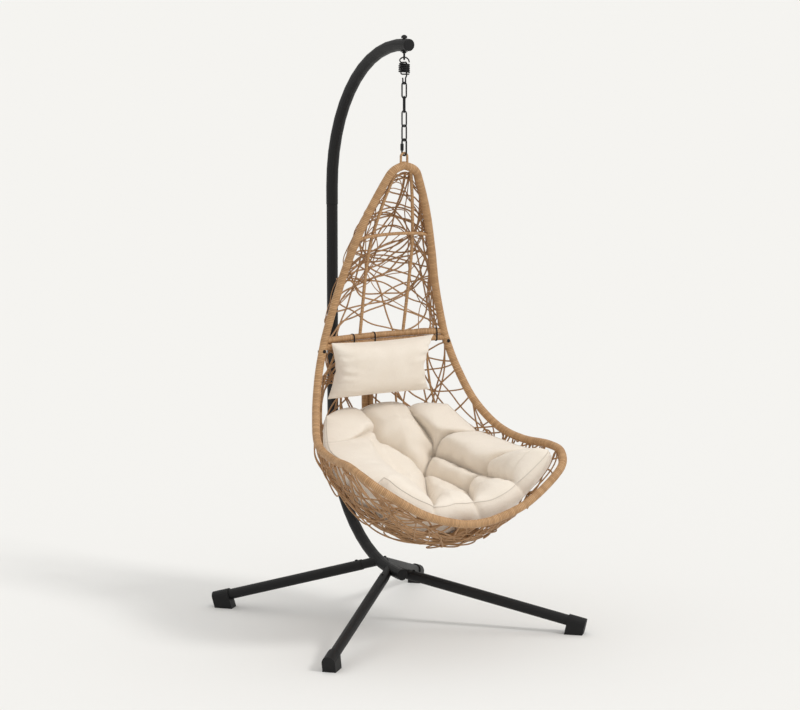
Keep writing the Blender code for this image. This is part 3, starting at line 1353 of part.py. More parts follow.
clear_scene()
PART = make_collection("hanging_egg_chair")
CUTTERS = make_collection("cutters")
MATERIALS = {name: make_material(name) for name in COLOURS}
UPPER_HALF, LOWER_HALF = rim_parts()
UPPER_PATH = resample(mirrored(UPPER_HALF[::-1]), 42)
LOWER_PATH = resample(mirrored(LOWER_HALF), 58)
main()
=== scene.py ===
# %% [markdown]
# # Hanging egg chair
# The imported model gives every piece its place, so this script only dresses it. It starts by
# loading that model as a fixed frame. The hang line, which is the vertical through the hook and
# the chain, is read from the frame's joints, and everything on the basket is laid out round it.

# %% Load the frame
import functools
import json
import math

import bmesh
import bpy
import numpy as np
from mathutils import Matrix, Vector, noise


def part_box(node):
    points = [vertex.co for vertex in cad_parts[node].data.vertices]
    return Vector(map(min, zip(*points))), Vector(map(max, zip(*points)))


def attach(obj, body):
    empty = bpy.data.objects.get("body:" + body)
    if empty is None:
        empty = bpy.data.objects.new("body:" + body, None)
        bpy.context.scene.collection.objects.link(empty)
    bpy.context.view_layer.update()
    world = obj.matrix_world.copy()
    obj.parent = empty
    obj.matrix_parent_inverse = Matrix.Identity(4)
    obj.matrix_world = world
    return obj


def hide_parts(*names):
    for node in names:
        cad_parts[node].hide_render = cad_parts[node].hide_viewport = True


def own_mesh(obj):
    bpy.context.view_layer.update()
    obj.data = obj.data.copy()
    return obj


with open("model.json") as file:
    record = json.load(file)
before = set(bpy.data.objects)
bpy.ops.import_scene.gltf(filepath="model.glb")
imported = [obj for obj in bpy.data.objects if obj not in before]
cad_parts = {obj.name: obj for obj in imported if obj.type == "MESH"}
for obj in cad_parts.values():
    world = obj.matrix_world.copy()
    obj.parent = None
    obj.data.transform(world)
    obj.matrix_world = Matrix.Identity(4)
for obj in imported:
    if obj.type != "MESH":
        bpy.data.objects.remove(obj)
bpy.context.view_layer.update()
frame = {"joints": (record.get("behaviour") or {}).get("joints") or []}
JOINTS = {joint["name"]: joint for joint in frame["joints"]}
HANG_Y = JOINTS["basket_turn"]["pos_m"][1]
TURN_HEIGHT = JOINTS["basket_turn"]["pos_m"][2]
print("hang line at y = %.4f m" % HANG_Y)

# %% [markdown]
# ## The sizes that the dressed chair shares with its solids
# The rims' outline, the bars and the shells of the weave are the same ones that the solids were
# made with: half width, distance behind the hang line and drop below the basket's top. Keeping
# them as driving sizes here means that the dressed weave bulges just as far as its solid does.

# %% Sizes of the basket
LOOP_WIRE = 0.0040
LOOP_RADIUS = 0.0119
LOOP_HEIGHT = 0.0394
APEX_HEIGHT = TURN_HEIGHT + LOOP_WIRE - LOOP_HEIGHT
RIM_RADIUS = 0.0132
BAR_RADIUS = 0.0105
BAR_BOW = 0.0300
RIB_RADIUS = 0.0055
SEAT_RIB_RADIUS = 0.0040
POST_RADIUS = 0.0105
GAP = 0.0003
UPPER_BAR_HEIGHT = APEX_HEIGHT - 0.5750
LOWER_BAR_HEIGHT = UPPER_BAR_HEIGHT - 2.0 * BAR_RADIUS - GAP
JOINT_HEIGHT = APEX_HEIGHT - 0.607
CORNER_DROP = 0.943
RIM_OUTLINE = (
    (0.000, 0.001, 0.000), (0.040, 0.001, 0.017), (0.064, 0.012, 0.054), (0.113, 0.047, 0.167),
    (0.154, 0.084, 0.296), (0.185, 0.112, 0.418), (0.219, 0.126, 0.545), (0.236, 0.124, 0.607),
    (0.264, 0.104, 0.697), (0.301, 0.051, 0.805), (0.340, -0.036, 0.882), (0.358, -0.160, 0.907),
    (0.375, -0.295, 0.906), (0.374, -0.372, 0.921), (0.327, -0.430, 0.966), (0.193, -0.456, 1.051),
    (0.070, -0.461, 1.091), (0.000, -0.461, 1.099),
)
SEAT_MIDLINE = (
    (0.200, 0.650), (0.246, 0.710), (0.266, 0.800), (0.250, 0.905), (0.190, 1.005),
    (0.095, 1.095), (-0.030, 1.168), (-0.165, 1.201), (-0.300, 1.193), (-0.400, 1.150),
)
BACK_MIDLINE = ((0.186, 0.500), (0.182, 0.400), (0.155, 0.270), (0.108, 0.150), (0.050, 0.060))
SEAT_RIB_SHARES = (-0.66, -0.30, 0.30, 0.66)
BACK_RIB_FOOT = 0.082
ARCH_RIB_DROP = 0.229


# %% Curves through a few points
def resample(dense, count):
    """The same path with count points at equal steps."""
    lengths = np.linalg.norm(np.diff(dense, axis=0), axis=1)
    along = np.concatenate([[0.0], np.cumsum(lengths)])
    wanted = np.linspace(0.0, along[-1], count)
    return np.stack([np.interp(wanted, along, column) for column in dense.T], axis=1)


def smooth_path(points, count):
    """Catmull-Rom curve through the points, with count points at equal steps."""
    knots = np.array(points, dtype=float)
    knots = np.vstack([2.0 * knots[0] - knots[1], knots, 2.0 * knots[-1] - knots[-2]])
    steps = np.linspace(0.0, 1.0, 24, endpoint=False)[:, None]
    pieces = []
    for a, b, c, d in zip(knots[:-3], knots[1:-2], knots[2:-1], knots[3:]):
        cubic = -a + 3.0 * b - 3.0 * c + d
        square = 2.0 * a - 5.0 * b + 4.0 * c - d
        pieces.append(0.5 * (2.0 * b + (c - a) * steps + square * steps ** 2 + cubic * steps ** 3))
    return resample(np.vstack(pieces + [knots[-2:-1]]), count)


def point_on(path, share):
    """Point at a share of a path whose points are at equal steps."""
    place = np.clip(share, 0.0, 1.0) * (len(path) - 1)
    return np.array([np.interp(place, np.arange(len(path)), column) for column in path.T])


def arc(centre, radius, start, end, count):
    """Points (sideways, height) on an arc, with angles in degrees."""
    angles = np.radians(np.linspace(start, end, count))
    return [(centre[0] + radius * math.cos(a), centre[1] + radius * math.sin(a)) for a in angles]


@functools.lru_cache(maxsize=None)
def rim_half():
    """Centre line of both rims' left half, from the top round to the middle of the front."""
    return smooth_path([(wide, back, APEX_HEIGHT - drop) for wide, back, drop in RIM_OUTLINE], 400)


@functools.lru_cache(maxsize=None)
def rim_point(height):
    half = rim_half()
    upper = half[:int(np.argmax(half[:, 2] < JOINT_HEIGHT)) + 10]
    return upper[np.argmin(np.abs(upper[:, 2] - height))]


def bar_place(aside, height):
    """Point on a bowed cross bar."""
    end = rim_point(UPPER_BAR_HEIGHT)
    return np.array([aside, end[1] + BAR_BOW * (1.0 - (aside / end[0]) ** 2), height])


def mirrored(half):
    other = half[-2::-1].copy()
    other[:, 0] *= -1.0
    return np.vstack([half, other])


def to_frame(points):
    """From distances behind the hang line to the frame's own coordinates."""
    moved = np.array(points, dtype=float)
    moved[:, 1] += HANG_Y
    return moved


# %% [markdown]
# ## The shells that the wicker follows
# A bowl and a hood, each stretched between the two side rims and a middle line. The same surface
# carries the wicker, the ribs inside it and the seat cushion, so it is written once as a small
# class: share runs along the middle line and across runs from one side rim to the other.

# %% Shell between the rims
def set_off(curve, towards, distance):
    """A curve moved squarely to itself, to the side that the other curve lies on."""
    along = np.gradient(curve, axis=0)
    along /= np.linalg.norm(along, axis=1)[:, None]
    way = towards - curve
    way[:, 0] = 0.0
    way -= along * np.sum(way * along, axis=1)[:, None]
    way /= np.linalg.norm(way, axis=1)[:, None]
    return curve + way * distance


def bar_edge(height, offset, back, turn_up):
    """Edge of a shell along a cross bar, as half of it from the middle out to the rim."""
    rise = math.sqrt(max(offset ** 2 - back ** 2, 0.0))
    level = height + (rise if turn_up else -rise)
    end = rim_point(level)
    places = []
    for aside in np.linspace(0.0, end[0] - offset * 0.6, 60):
        place = bar_place(aside, level)
        place[1] += back
        places.append(place)
    return np.array(places)


NEAR_BLEND = 0.15                # share of a shell that bends to meet its cross bar
NORMAL_STEP = 0.004


class Shell:
    """Curved surface between two side rims, a straight end and a curved end."""

    def __init__(self, side, offset, middle, near_edge, far_edge, fullness, flat, boxy,
                 blend_from, bulge):
        towards = np.array([point_on(middle, share) for share in np.linspace(0.0, 1.0, len(side))])
        self.edge = set_off(side, towards, offset)
        self.middle = middle
        self.near_edge = near_edge
        self.far_edge = far_edge
        self.fullness = math.radians(fullness)
        self.flat = flat
        self.boxy = boxy
        self.blend_from = blend_from
        self.bulge = bulge

    def section(self, share, across):
        edge = point_on(self.edge, share)
        mid = point_on(self.middle, share)
        angle = abs(across) * self.fullness
        whole = 1.0 - max(math.cos(self.fullness), 0.0) ** self.flat
        rise = (1.0 - max(math.cos(angle), 0.0) ** self.flat) / whole
        place = mid + (edge - mid) * rise
        swell = 1.0 + self.bulge * math.sin(math.pi * min(abs(across), 1.0) ** 3)
        wide = edge[0] * self.spread(across) * swell
        place[0] = math.copysign(wide, across) if across else 0.0
        return place

    def spread(self, across):
        return (math.sin(abs(across) * self.fullness) / math.sin(self.fullness)) ** self.boxy

    def point(self, share, across):
        place = self.section(share, across)
        early = 1.0 - share / NEAR_BLEND
        place = place + self.pull(self.near_edge, self.spread(across), 0.0, across, early)
        if self.far_edge is not None:
            late = (share - self.blend_from) / (1.0 - self.blend_from)
            place = place + self.pull(self.far_edge, abs(across), 1.0, across, late)
        return place

    def pull(self, edge, reach, share, across, amount):
        weight = min(max(amount, 0.0), 1.0)
        weight = weight * weight * (3.0 - 2.0 * weight)
        wanted = point_on(edge, reach)
        wanted[0] = math.copysign(wanted[0], across) if across else 0.0
        return weight * (wanted - self.section(share, across))

    def normal(self, share, across):
        """Unit normal that points to the sitter's side."""
        before, after = max(share - NORMAL_STEP, 0.0), min(share + NORMAL_STEP, 1.0)
        right, left = max(across - NORMAL_STEP, -1.0), min(across + NORMAL_STEP, 1.0)
        along = self.point(after, across) - self.point(before, across)
        over = self.point(share, left) - self.point(share, right)
        normal = np.cross(along, over)
        return normal / np.linalg.norm(normal)

    def inside(self, share, across, distance):
        return self.point(share, across) + self.normal(share, across) * distance


def seat_shell(offset, bar_offset, bar_back, bulge=0.0):
    """The bowl. The offset is how far its edge stays from the centre line of the rims."""
    rim = rim_half()
    corner = int(np.argmax(rim[:, 2] < APEX_HEIGHT - CORNER_DROP))
    near = bar_edge(LOWER_BAR_HEIGHT, bar_offset, bar_back, False)
    start = int(np.argmax(rim[:, 2] < near[-1][2]))
    side = resample(rim[start:corner + 1], 120)
    front = resample(rim[corner:], 80)[::-1].copy()
    front = set_off(front, front - np.array((0.0, 0.0, 1.0)), offset + 0.0006)
    middle = [(0.0, y, APEX_HEIGHT - drop) for y, drop in SEAT_MIDLINE]
    middle = smooth_path([tuple(near[0])] + middle + [tuple(front[0])], 160)
    return Shell(side, offset, middle, near, front, 74.0, 1.0, 1.0, 0.70, bulge)


def back_shell(offset, bar_offset, bar_back, bulge=0.0):
    """The hood, from the upper cross bar to the top of the rim."""
    rim = rim_half()
    near = bar_edge(UPPER_BAR_HEIGHT, bar_offset, bar_back, True)
    start = int(np.argmax(rim[:, 2] < near[-1][2]))
    end = int(np.argmax(rim[:, 0] > 0.048))
    side = resample(rim[end:start + 1][::-1], 120)
    top = rim[end]
    middle = [tuple(near[0])] + [(0.0, y, APEX_HEIGHT - drop) for y, drop in BACK_MIDLINE]
    middle.append((0.0, top[1] + 0.022, top[2] + 0.004))
    return Shell(side, offset, smooth_path(middle, 160), near, None, 90.0, 0.75, 0.85, 1.0, bulge)


SOLID_STRAND = 0.0026            # radius of the solids' strands
BAR_OFFSET = BAR_RADIUS + 0.0012 + SOLID_STRAND + 8.0 * GAP
WEAVE_OFFSET = RIM_RADIUS + SOLID_STRAND + GAP + 0.0006
EDGE_BACK = 0.0155
BOWL = seat_shell(WEAVE_OFFSET, BAR_OFFSET, EDGE_BACK)
print("basket: top %.3f m, cross bars %.3f and %.3f m" % (APEX_HEIGHT, UPPER_BAR_HEIGHT, LOWER_BAR_HEIGHT))

# %% [markdown]
# ## Building node trees from a script
# Geometry Nodes and shaders are both trees of nodes, so one small helper serves both. It adds a
# node, sets its properties, and joins whatever is given to its inputs: a socket is linked, and a
# plain value is typed in. The steps that come back in every tree get short names of their own, so
# the trees below read from top to bottom like sums.

# %% A helper that wires nodes
class Wiring:
    """Adds nodes to a tree and links or fills their inputs."""

    def __init__(self, tree):
        self.tree = tree

    def join(self, value, socket):
        if isinstance(value, bpy.types.NodeSocket):
            self.tree.links.new(value, socket)
        else:
            socket.default_value = value

    def add(self, kind, inputs=None, **settings):
        node = self.tree.nodes.new(kind)
        for name, value in settings.items():
            setattr(node, name, value)
        for key, value in (inputs or {}).items():
            self.join(value, node.inputs[key])
        return node

    def first(self, kind, inputs=None, **settings):
        """Adds a node and gives its first output."""
        return self.add(kind, inputs, **settings).outputs[0]

    def math(self, operation, *values):
        return self.first("ShaderNodeMath", dict(enumerate(values)), operation=operation)

    def plus(self, one, other):
        return self.math("ADD", one, other)

    def minus(self, one, other):
        return self.math("SUBTRACT", one, other)

    def times(self, one, other):
        return self.math("MULTIPLY", one, other)

    def vector(self, operation, *values):
        return self.first("ShaderNodeVectorMath", dict(enumerate(values)), operation=operation)

    def scaled(self, vector, factor):
        return self.first("ShaderNodeVectorMath", {0: vector, "Scale": factor}, operation="SCALE")

    def combine(self, x=0.0, y=0.0, z=0.0):
        return self.first("ShaderNodeCombineXYZ", {0: x, 1: y, 2: z})

    def remap(self, value, low, high, to_low=0.0, to_high=1.0, curve="LINEAR"):
        values = {0: value, 1: low, 2: high, 3: to_low, 4: to_high}
        return self.first("ShaderNodeMapRange", values, interpolation_type=curve)

    def mix(self, factor, start, end):
        return self.add("ShaderNodeMix", {0: factor, 6: start, 7: end}, data_type="RGBA").outputs[2]

    def noise(self, place, scale, detail):
        return self.first("ShaderNodeTexNoise", {"Vector": place, "Scale": scale, "Detail": detail})

    def here(self):
        """The shaded spot, in the object's own metres."""
        return self.add("ShaderNodeTexCoord").outputs["Object"]

    def stored(self, label, output="Fac"):
        """What a mesh carries, for a shader."""
        return self.add("ShaderNodeAttribute", attribute_name=label).outputs[output]

    def recall(self, label, kind="FLOAT"):
        """What a mesh carries, for a geometry tree."""
        node = self.add("GeometryNodeInputNamedAttribute", {"Name": label}, data_type=kind)
        return node.outputs["Attribute"]

    def store(self, geometry, label, value, kind="FLOAT"):
        inputs = {"Geometry": geometry, "Name": label}
        node = self.add("GeometryNodeStoreNamedAttribute", inputs, data_type=kind, domain="POINT")
        self.join(value, node.inputs["Value"])
        return node.outputs["Geometry"]


def new_tree(name, kind, inputs, outputs):
    """A node group with its sockets, and the two nodes that stand for them."""
    tree = bpy.data.node_groups.new(name, kind)
    for label, socket_type, value in inputs:
        socket = tree.interface.new_socket(label, in_out="INPUT", socket_type=socket_type)
        if value is not None:
            socket.default_value = value
    for label, socket_type in outputs:
        tree.interface.new_socket(label, in_out="OUTPUT", socket_type=socket_type)
    wires = Wiring(tree)
    return tree, wires, wires.add("NodeGroupInput").outputs, wires.add("NodeGroupOutput").inputs


GEOMETRY, NUMBER, COUNT = "NodeSocketGeometry", "NodeSocketFloat", "NodeSocketInt"
COLOUR, FINISH = "NodeSocketColor", "NodeSocketMaterial"


def add_object(name, data):
    thing = bpy.data.objects.new(name, data)
    bpy.context.scene.collection.objects.link(thing)
    return thing


def grow(name, source, tree, values):
    """Runs a tree on a mesh and returns its result as a plain object at the origin."""
    holder = add_object(name + "_source", source)
    modifier = holder.modifiers.new("grow", "NODES")
    modifier.node_group = tree
    items = [item for item in tree.interface.items_tree if item.in_out == "INPUT"]
    sockets = {item.name: item.identifier for item in items}
    for label, value in values.items():
        modifier[sockets[label]] = value
    holder.update_tag()
    depsgraph = bpy.context.evaluated_depsgraph_get()
    mesh = bpy.data.meshes.new_from_object(holder.evaluated_get(depsgraph))
    mesh.name = name
    bpy.data.objects.remove(holder)
    bpy.data.meshes.remove(source)
    return add_object(name, mesh)


def dress(piece, body, slot, *nodes):
    """Ties a finished piece to its body and hides the solids that it stands for; the slot, its finish, is
    not used.
    """
    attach(piece, body)
    if nodes:
        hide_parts(*nodes)
    print("%-24s %6d faces on %s" % (piece.name, len(piece.data.polygons), body))
    return piece


def line_mesh(name, path, closed=False):
    """Mesh of edges along a path, for a tree to sweep."""
    last = len(path) if closed else len(path) - 1
    edges = [(step, (step + 1) % len(path)) for step in range(last)]
    mesh = bpy.data.meshes.new(name)
    mesh.from_pydata([tuple(place) for place in path], edges, [])
    return mesh


# %% [markdown]
# ## Finishes
# Six finishes cover the whole chair. The frame tubes are bound with a flat synthetic cane, the
# strands are a round one, the stand is powder coated steel, its plugs and boots are plastic, the
# small hardware is blackened steel, and the cushions are a plain woven cover. Effects such as
# mottled colour, grain and worn edges are node groups with their own named inputs.

# %% Shared effect: mottled colour
def mottle_group():
    """Slow change of tone over a surface, from broad patches down to fine specks."""
    tree, wires, given, result = new_tree(
        "mottle", "ShaderNodeTree",
        (("Light", COLOUR, (0.5, 0.4, 0.3, 1.0)), ("Dark", COLOUR, (0.3, 0.2, 0.1, 1.0)),
         ("Patch Scale", NUMBER, 9.0), ("Speck Scale", NUMBER, 240.0), ("Speck Share", NUMBER, 0.4)),
        (("Color", COLOUR), ("Tone", NUMBER)))
    place = wires.here()
    broad = wires.remap(wires.noise(place, given["Patch Scale"], 3.0), 0.30, 0.70)
    fine = wires.remap(wires.noise(place, given["Speck Scale"], 2.0), 0.30, 0.70)
    broad = wires.times(broad, wires.minus(1.0, given["Speck Share"]))
    tone = wires.plus(broad, wires.times(fine, given["Speck Share"]))
    wires.join(wires.mix(tone, given["Dark"], given["Light"]), result["Color"])
    wires.join(tone, result["Tone"])
    return tree


# %% Shared effect: fine surface grain
def grain_group():
    """Height of a fine grain, as powder coat and moulded plastic have it."""
    tree, wires, given, result = new_tree(
        "grain", "ShaderNodeTree", (("Scale", NUMBER, 900.0),), (("Height", NUMBER),))
    place = wires.here()
    cells = wires.add("ShaderNodeTexVoronoi", {"Vector": place, "Scale": given["Scale"]},
                      feature="SMOOTH_F1").outputs["Distance"]
    height = wires.plus(wires.noise(place, given["Scale"], 2.0), wires.times(cells, 0.6))
    wires.join(height, result["Height"])
    return tree


# %% Shared effect: worn edges
def wear_group():
    """1 on sharp outer edges, broken up by noise, and 0 on flat faces."""
    tree, wires, given, result = new_tree(
        "edge_wear", "ShaderNodeTree", (("Start", NUMBER, 0.56), ("Breakup", NUMBER, 60.0)),
        (("Mask", NUMBER),))
    sharp = wires.add("ShaderNodeNewGeometry").outputs["Pointiness"]
    edge = wires.remap(sharp, given["Start"], wires.plus(given["Start"], 0.08))
    broken = wires.remap(wires.noise(wires.here(), given["Breakup"], 4.0), 0.42, 0.62)
    wires.join(wires.times(edge, broken), result["Mask"])
    return tree


MOTTLE = mottle_group()
GRAIN = grain_group()
WEAR = wear_group()


# %% Steps that the finishes share
def start_material(name):
    """An empty material with its Principled shader, ready for a pattern."""
    material = bpy.data.materials.new(name)
    material.use_nodes = True
    return material, Wiring(material.node_tree), material.node_tree.nodes["Principled BSDF"].inputs


def set_values(sockets, **values):
    """Constant values by socket name, with underscores for spaces."""
    for label, value in values.items():
        sockets[label.replace("_", " ")].default_value = value


def add_bump(wires, sockets, height, distance, strength):
    inputs = {"Height": height, "Distance": distance, "Strength": strength}
    wires.join(wires.add("ShaderNodeBump", inputs).outputs["Normal"], sockets["Normal"])


def add_grain(wires, sockets, scale, distance, strength):
    grain = wires.first("ShaderNodeGroup", {"Scale": scale}, node_tree=GRAIN)
    add_bump(wires, sockets, grain, distance, strength)


def mottled(wires, light, dark, patch_scale, speck_scale):
    inputs = {"Light": light, "Dark": dark, "Patch Scale": patch_scale, "Speck Scale": speck_scale}
    return wires.add("ShaderNodeGroup", inputs, node_tree=MOTTLE).outputs


# %% [markdown]
# ### Coated steel, plastic and blackened hardware
# All three are dark and nearly even. What tells them apart is how they catch the light: powder
# coat has a fine orange peel, the boots are duller and coarser, and the hardware is smoother with
# paler metal where the bends rub.

# %% Dark finishes
def dark_finish(name, light, dark, roughness, metallic, grain_scale, grain_depth, worn_to=None):
    material, wires, sockets = start_material(name)
    tone = mottled(wires, light, dark, 6.0, 300.0)
    colour = tone["Color"]
    rough = wires.remap(tone["Tone"], 0.0, 1.0, roughness - 0.04, roughness + 0.05)
    if worn_to:
        worn = wires.first("ShaderNodeGroup", node_tree=WEAR)
        colour = wires.mix(worn, colour, worn_to)
        rough = wires.minus(rough, wires.times(worn, 0.12))
    wires.join(colour, sockets["Base Color"])
    wires.join(rough, sockets["Roughness"])
    set_values(sockets, Metallic=metallic, Specular_IOR_Level=0.26)
    add_grain(wires, sockets, grain_scale, grain_depth, 0.6)
    return material


STEEL = dark_finish("powder_coat", (0.0105, 0.0105, 0.011, 1.0), (0.0080, 0.0080, 0.0085, 1.0),
                    0.50, 0.0, 700.0, 0.0002)
PLASTIC = dark_finish("boot_plastic", (0.011, 0.011, 0.0115, 1.0), (0.008, 0.008, 0.0085, 1.0),
                      0.58, 0.0, 420.0, 0.0003)
HARDWARE = dark_finish("blackened_steel", (0.013, 0.013, 0.014, 1.0), (0.010, 0.010, 0.011, 1.0),
                       0.46, 0.30, 900.0, 0.0001, (0.035, 0.035, 0.037, 1.0))

# %% [markdown]
# ### Cane binding
# The tubes of the basket are bound edge to edge with a flat strip. Each turn is a shade lighter or
# darker than the next, its edges are darkened with painted shade where the grooves between turns lie,
# and fine fibres run along the strip, which is round the tube. The tree below stores two numbers on
# every tube, the distance along it and a lean that tips the turns, and the finish reads them, so the
# turns follow every bend.

# %% Finish of the bound tubes
BAND_WIDTH = 0.0056
# The first colour is painted shade, for the grooves between the turns.
CANE_GROOVE_SHADE, CANE_DARK = (0.200, 0.095, 0.038, 1.0), (0.405, 0.226, 0.100, 1.0)
CANE_LIGHT = (0.545, 0.325, 0.155, 1.0)


def binding_finish():
    material, wires, sockets = start_material("cane_binding")
    place = wires.here()
    turns = wires.math("DIVIDE", wires.plus(wires.stored("along"), wires.stored("lean")), BAND_WIDTH)
    share = wires.math("FRACT", turns)
    own_tone = wires.add("ShaderNodeTexWhiteNoise", {"W": wires.math("FLOOR", turns)},
                         noise_dimensions="1D").outputs["Value"]
    from_edge = wires.minus(0.5, wires.math("ABSOLUTE", wires.minus(share, 0.5)))
    body = wires.remap(from_edge, 0.0, 0.17, curve="SMOOTHSTEP")
    inputs = {"W": wires.times(turns, 7.0), "Vector": place, "Scale": 26.0, "Detail": 3.0}
    fibres = wires.first("ShaderNodeTexNoise", inputs, noise_dimensions="4D")
    tone = wires.plus(wires.times(own_tone, 0.55), wires.times(fibres, 0.42))
    tone = wires.plus(tone, wires.times(wires.noise(place, 7.0, 2.0), 0.30))
    flat = wires.mix(wires.remap(tone, 0.30, 0.85), CANE_DARK, CANE_LIGHT)
    # Painted shade: each turn darkens towards its edges, where the grooves between turns lie.
    wires.join(wires.mix(body, CANE_GROOVE_SHADE, flat), sockets["Base Color"])
    wires.join(wires.remap(tone, 0.2, 0.9, 0.62, 0.46), sockets["Roughness"])
    add_bump(wires, sockets, wires.plus(body, wires.times(fibres, 0.35)), 0.0005, 0.8)
    return material


# %% Finish of the round strands
STRAND_LIGHT, STRAND_DARK = (0.520, 0.305, 0.150, 1.0), (0.340, 0.185, 0.083, 1.0)


def strand_finish():
    material, wires, sockets = start_material("cane_strand")
    tone = mottled(wires, STRAND_LIGHT, STRAND_DARK, 22.0, 500.0)["Color"]
    own = wires.remap(wires.stored("own_tone"), 0.0, 1.0, 0.0, 0.55)
    wires.join(wires.mix(own, tone, STRAND_DARK), sockets["Base Color"])
    set_values(sockets, Roughness=0.50)
    add_grain(wires, sockets, 500.0, 0.0003, 0.7)
    return material


BINDING = binding_finish()
STRANDS = strand_finish()

# %% [markdown]
# ## Bound tubes
# Every tube of the basket is steel wire or pipe under a tight binding of flat cane. Modelling each
# turn by hand would be endless, and a bump alone leaves the outline too clean, so one tree sweeps a
# ring along the path, marks how far along each ring lies, and sinks the lines between the turns.

# %% Last steps of both trees
def sweep(wires, curve, ring):
    inputs = {"Curve": curve, "Profile Curve": ring, "Fill Caps": True}
    return wires.first("GeometryNodeCurveToMesh", inputs)


def finish_tree(wires, geometry, finish, result):
    """Smooth shading, the material, and plain geometry at the end."""
    smooth = wires.first("GeometryNodeSetShadeSmooth", {"Geometry": geometry})
    done = wires.first("GeometryNodeSetMaterial", {"Geometry": smooth, "Material": finish})
    wires.join(wires.first("GeometryNodeRealizeInstances", {"Geometry": done}), result)


# %% Tree that sweeps a bound tube along a path
def bound_tube_tree():
    tree, wires, given, result = new_tree(
        "bound_tube", "GeometryNodeTree",
        (("Path", GEOMETRY, None), ("Radius", NUMBER, 0.01), ("Turn Width", NUMBER, BAND_WIDTH),
         ("Steps per Turn", NUMBER, 5.0), ("Turn Depth", NUMBER, 0.0004), ("Tilt", NUMBER, 0.0010),
         ("Sides", COUNT, 14), ("Unevenness", NUMBER, 0.0003), ("Finish", FINISH, None)),
        (("Tube", GEOMETRY),))
    line = wires.first("GeometryNodeMeshToCurve", {"Mesh": given["Path"]})
    step = wires.math("DIVIDE", given["Turn Width"], given["Steps per Turn"])
    fine = wires.first("GeometryNodeResampleCurve", {"Curve": line, "Length": step}, mode="LENGTH")
    spline = wires.add("GeometryNodeSplineParameter").outputs
    path = wires.store(fine, "along", spline["Length"])
    inputs = {"Resolution": given["Sides"], "Radius": given["Radius"]}
    ring = wires.first("GeometryNodeCurvePrimitiveCircle", inputs)
    turned = wires.math("SINE", wires.times(spline["Factor"], 2.0 * math.pi))
    ring = wires.store(ring, "lean", wires.times(turned, given["Tilt"]))
    tube = sweep(wires, path, ring)
    marked = wires.plus(wires.recall("along"), wires.recall("lean"))
    share = wires.math("FRACT", wires.math("DIVIDE", marked, given["Turn Width"]))
    off_middle = wires.math("ABSOLUTE", wires.minus(wires.times(share, 2.0), 1.0))
    dip = wires.times(wires.math("POWER", off_middle, 4.0), given["Turn Depth"])
    lumps = wires.first("ShaderNodeTexNoise", {"Scale": 38.0, "Detail": 1.0})
    lump = wires.times(wires.minus(lumps, 0.5), given["Unevenness"])
    move = wires.scaled(wires.first("GeometryNodeInputNormal"), wires.minus(lump, dip))
    tube = wires.first("GeometryNodeSetPosition", {"Geometry": tube, "Offset": move})
    finish_tree(wires, tube, given["Finish"], result["Tube"])
    return tree


BOUND_TUBE = bound_tube_tree()


def bound_tube(name, path, radius, node, sides=14, turn_width=BAND_WIDTH, uneven=0.0005):
    """One bound tube of the basket, in place of its plain solid."""
    piece = grow(name, line_mesh(name, to_frame(path)), BOUND_TUBE, {
        "Radius": radius, "Sides": sides, "Turn Width": turn_width, "Unevenness": uneven,
        "Finish": BINDING})
    return dress(piece, "basket", "wrapped_rattan", node)


def plain_tube(name, path, radius, sides, step, finish, closed=True):
    """A smooth round tube, for piping and wire."""
    return grow(name, line_mesh(name, path, closed), BOUND_TUBE, {
        "Radius": radius, "Sides": sides, "Turn Width": step, "Steps per Turn": 1.0,
        "Turn Depth": 0.0, "Unevenness": 0.0, "Finish": finish})


# %% [markdown]
# ### Rims, bars and the hanging loop
# Each rim is one long pipe. The upper one is an upside-down U that stops at the bolts, and the
# lower one carries on from there round the front of the seat. The two cross bars touch along their
# whole length. The loop stands on the top of the upper rim and takes the quick link.

# %% Rims, bars and loop
def rim_paths():
    half = rim_half()
    joint = int(np.argmax(half[:, 2] < JOINT_HEIGHT))
    return mirrored(half[:joint + 1][::-1].copy()), mirrored(half[joint:])


def bar_line(height):
    reach = rim_point(height)[0]
    return [bar_place(aside, height) for aside in np.linspace(-reach, reach, 41)]


def loop_line():
    rim = rim_half()
    foot = rim[int(np.argmax(rim[:, 0] > LOOP_RADIUS))]
    centre = TURN_HEIGHT + LOOP_WIRE - LOOP_RADIUS
    bow = arc((0.0, centre), LOOP_RADIUS, 0.0, 180.0, 25)
    flat = [(LOOP_RADIUS, foot[2])] + bow + [(-LOOP_RADIUS, foot[2])]
    return [(x, foot[1], z) for x, z in flat]


UPPER_LINE, LOWER_LINE = rim_paths()
bound_tube("dressed_upper_rim", UPPER_LINE, RIM_RADIUS, "upper_rim", 18)
bound_tube("dressed_lower_rim", LOWER_LINE, RIM_RADIUS, "lower_rim", 18)
bound_tube("dressed_upper_bar", bar_line(UPPER_BAR_HEIGHT), BAR_RADIUS, "upper_crossbar", 16)
bound_tube("dressed_lower_bar", bar_line(LOWER_BAR_HEIGHT), BAR_RADIUS, "lower_crossbar", 16)
bound_tube("dressed_loop", loop_line(), LOOP_WIRE, "hanging_loop", 12, 0.0036, 0.0)

# %% [markdown]
# ### Ribs and posts
# Thinner rods keep the wicker in shape: two up the hood to the top, an arched one across them, four
# under the seat, and a pair of stout posts down the back. They are bound with the same cane, so the
# same tree sweeps them, with narrower turns on the thin rods.

# %% Ribs and posts
RIB_LIFT = 0.0045
POST_LIFT = 0.0030


def hood_rib(side):
    foot = bar_place(BACK_RIB_FOOT, UPPER_BAR_HEIGHT)
    middle = rim_point(APEX_HEIGHT - 0.30)
    upper = rim_point(APEX_HEIGHT - 0.14)
    return smooth_path([
        (side * foot[0], foot[1] - 0.003, foot[2]),
        (side * BACK_RIB_FOOT, middle[1] + 0.008, middle[2]),
        (side * 0.058, upper[1] + 0.008, upper[2]), (side * 0.026, 0.002, APEX_HEIGHT - 0.012)], 60)


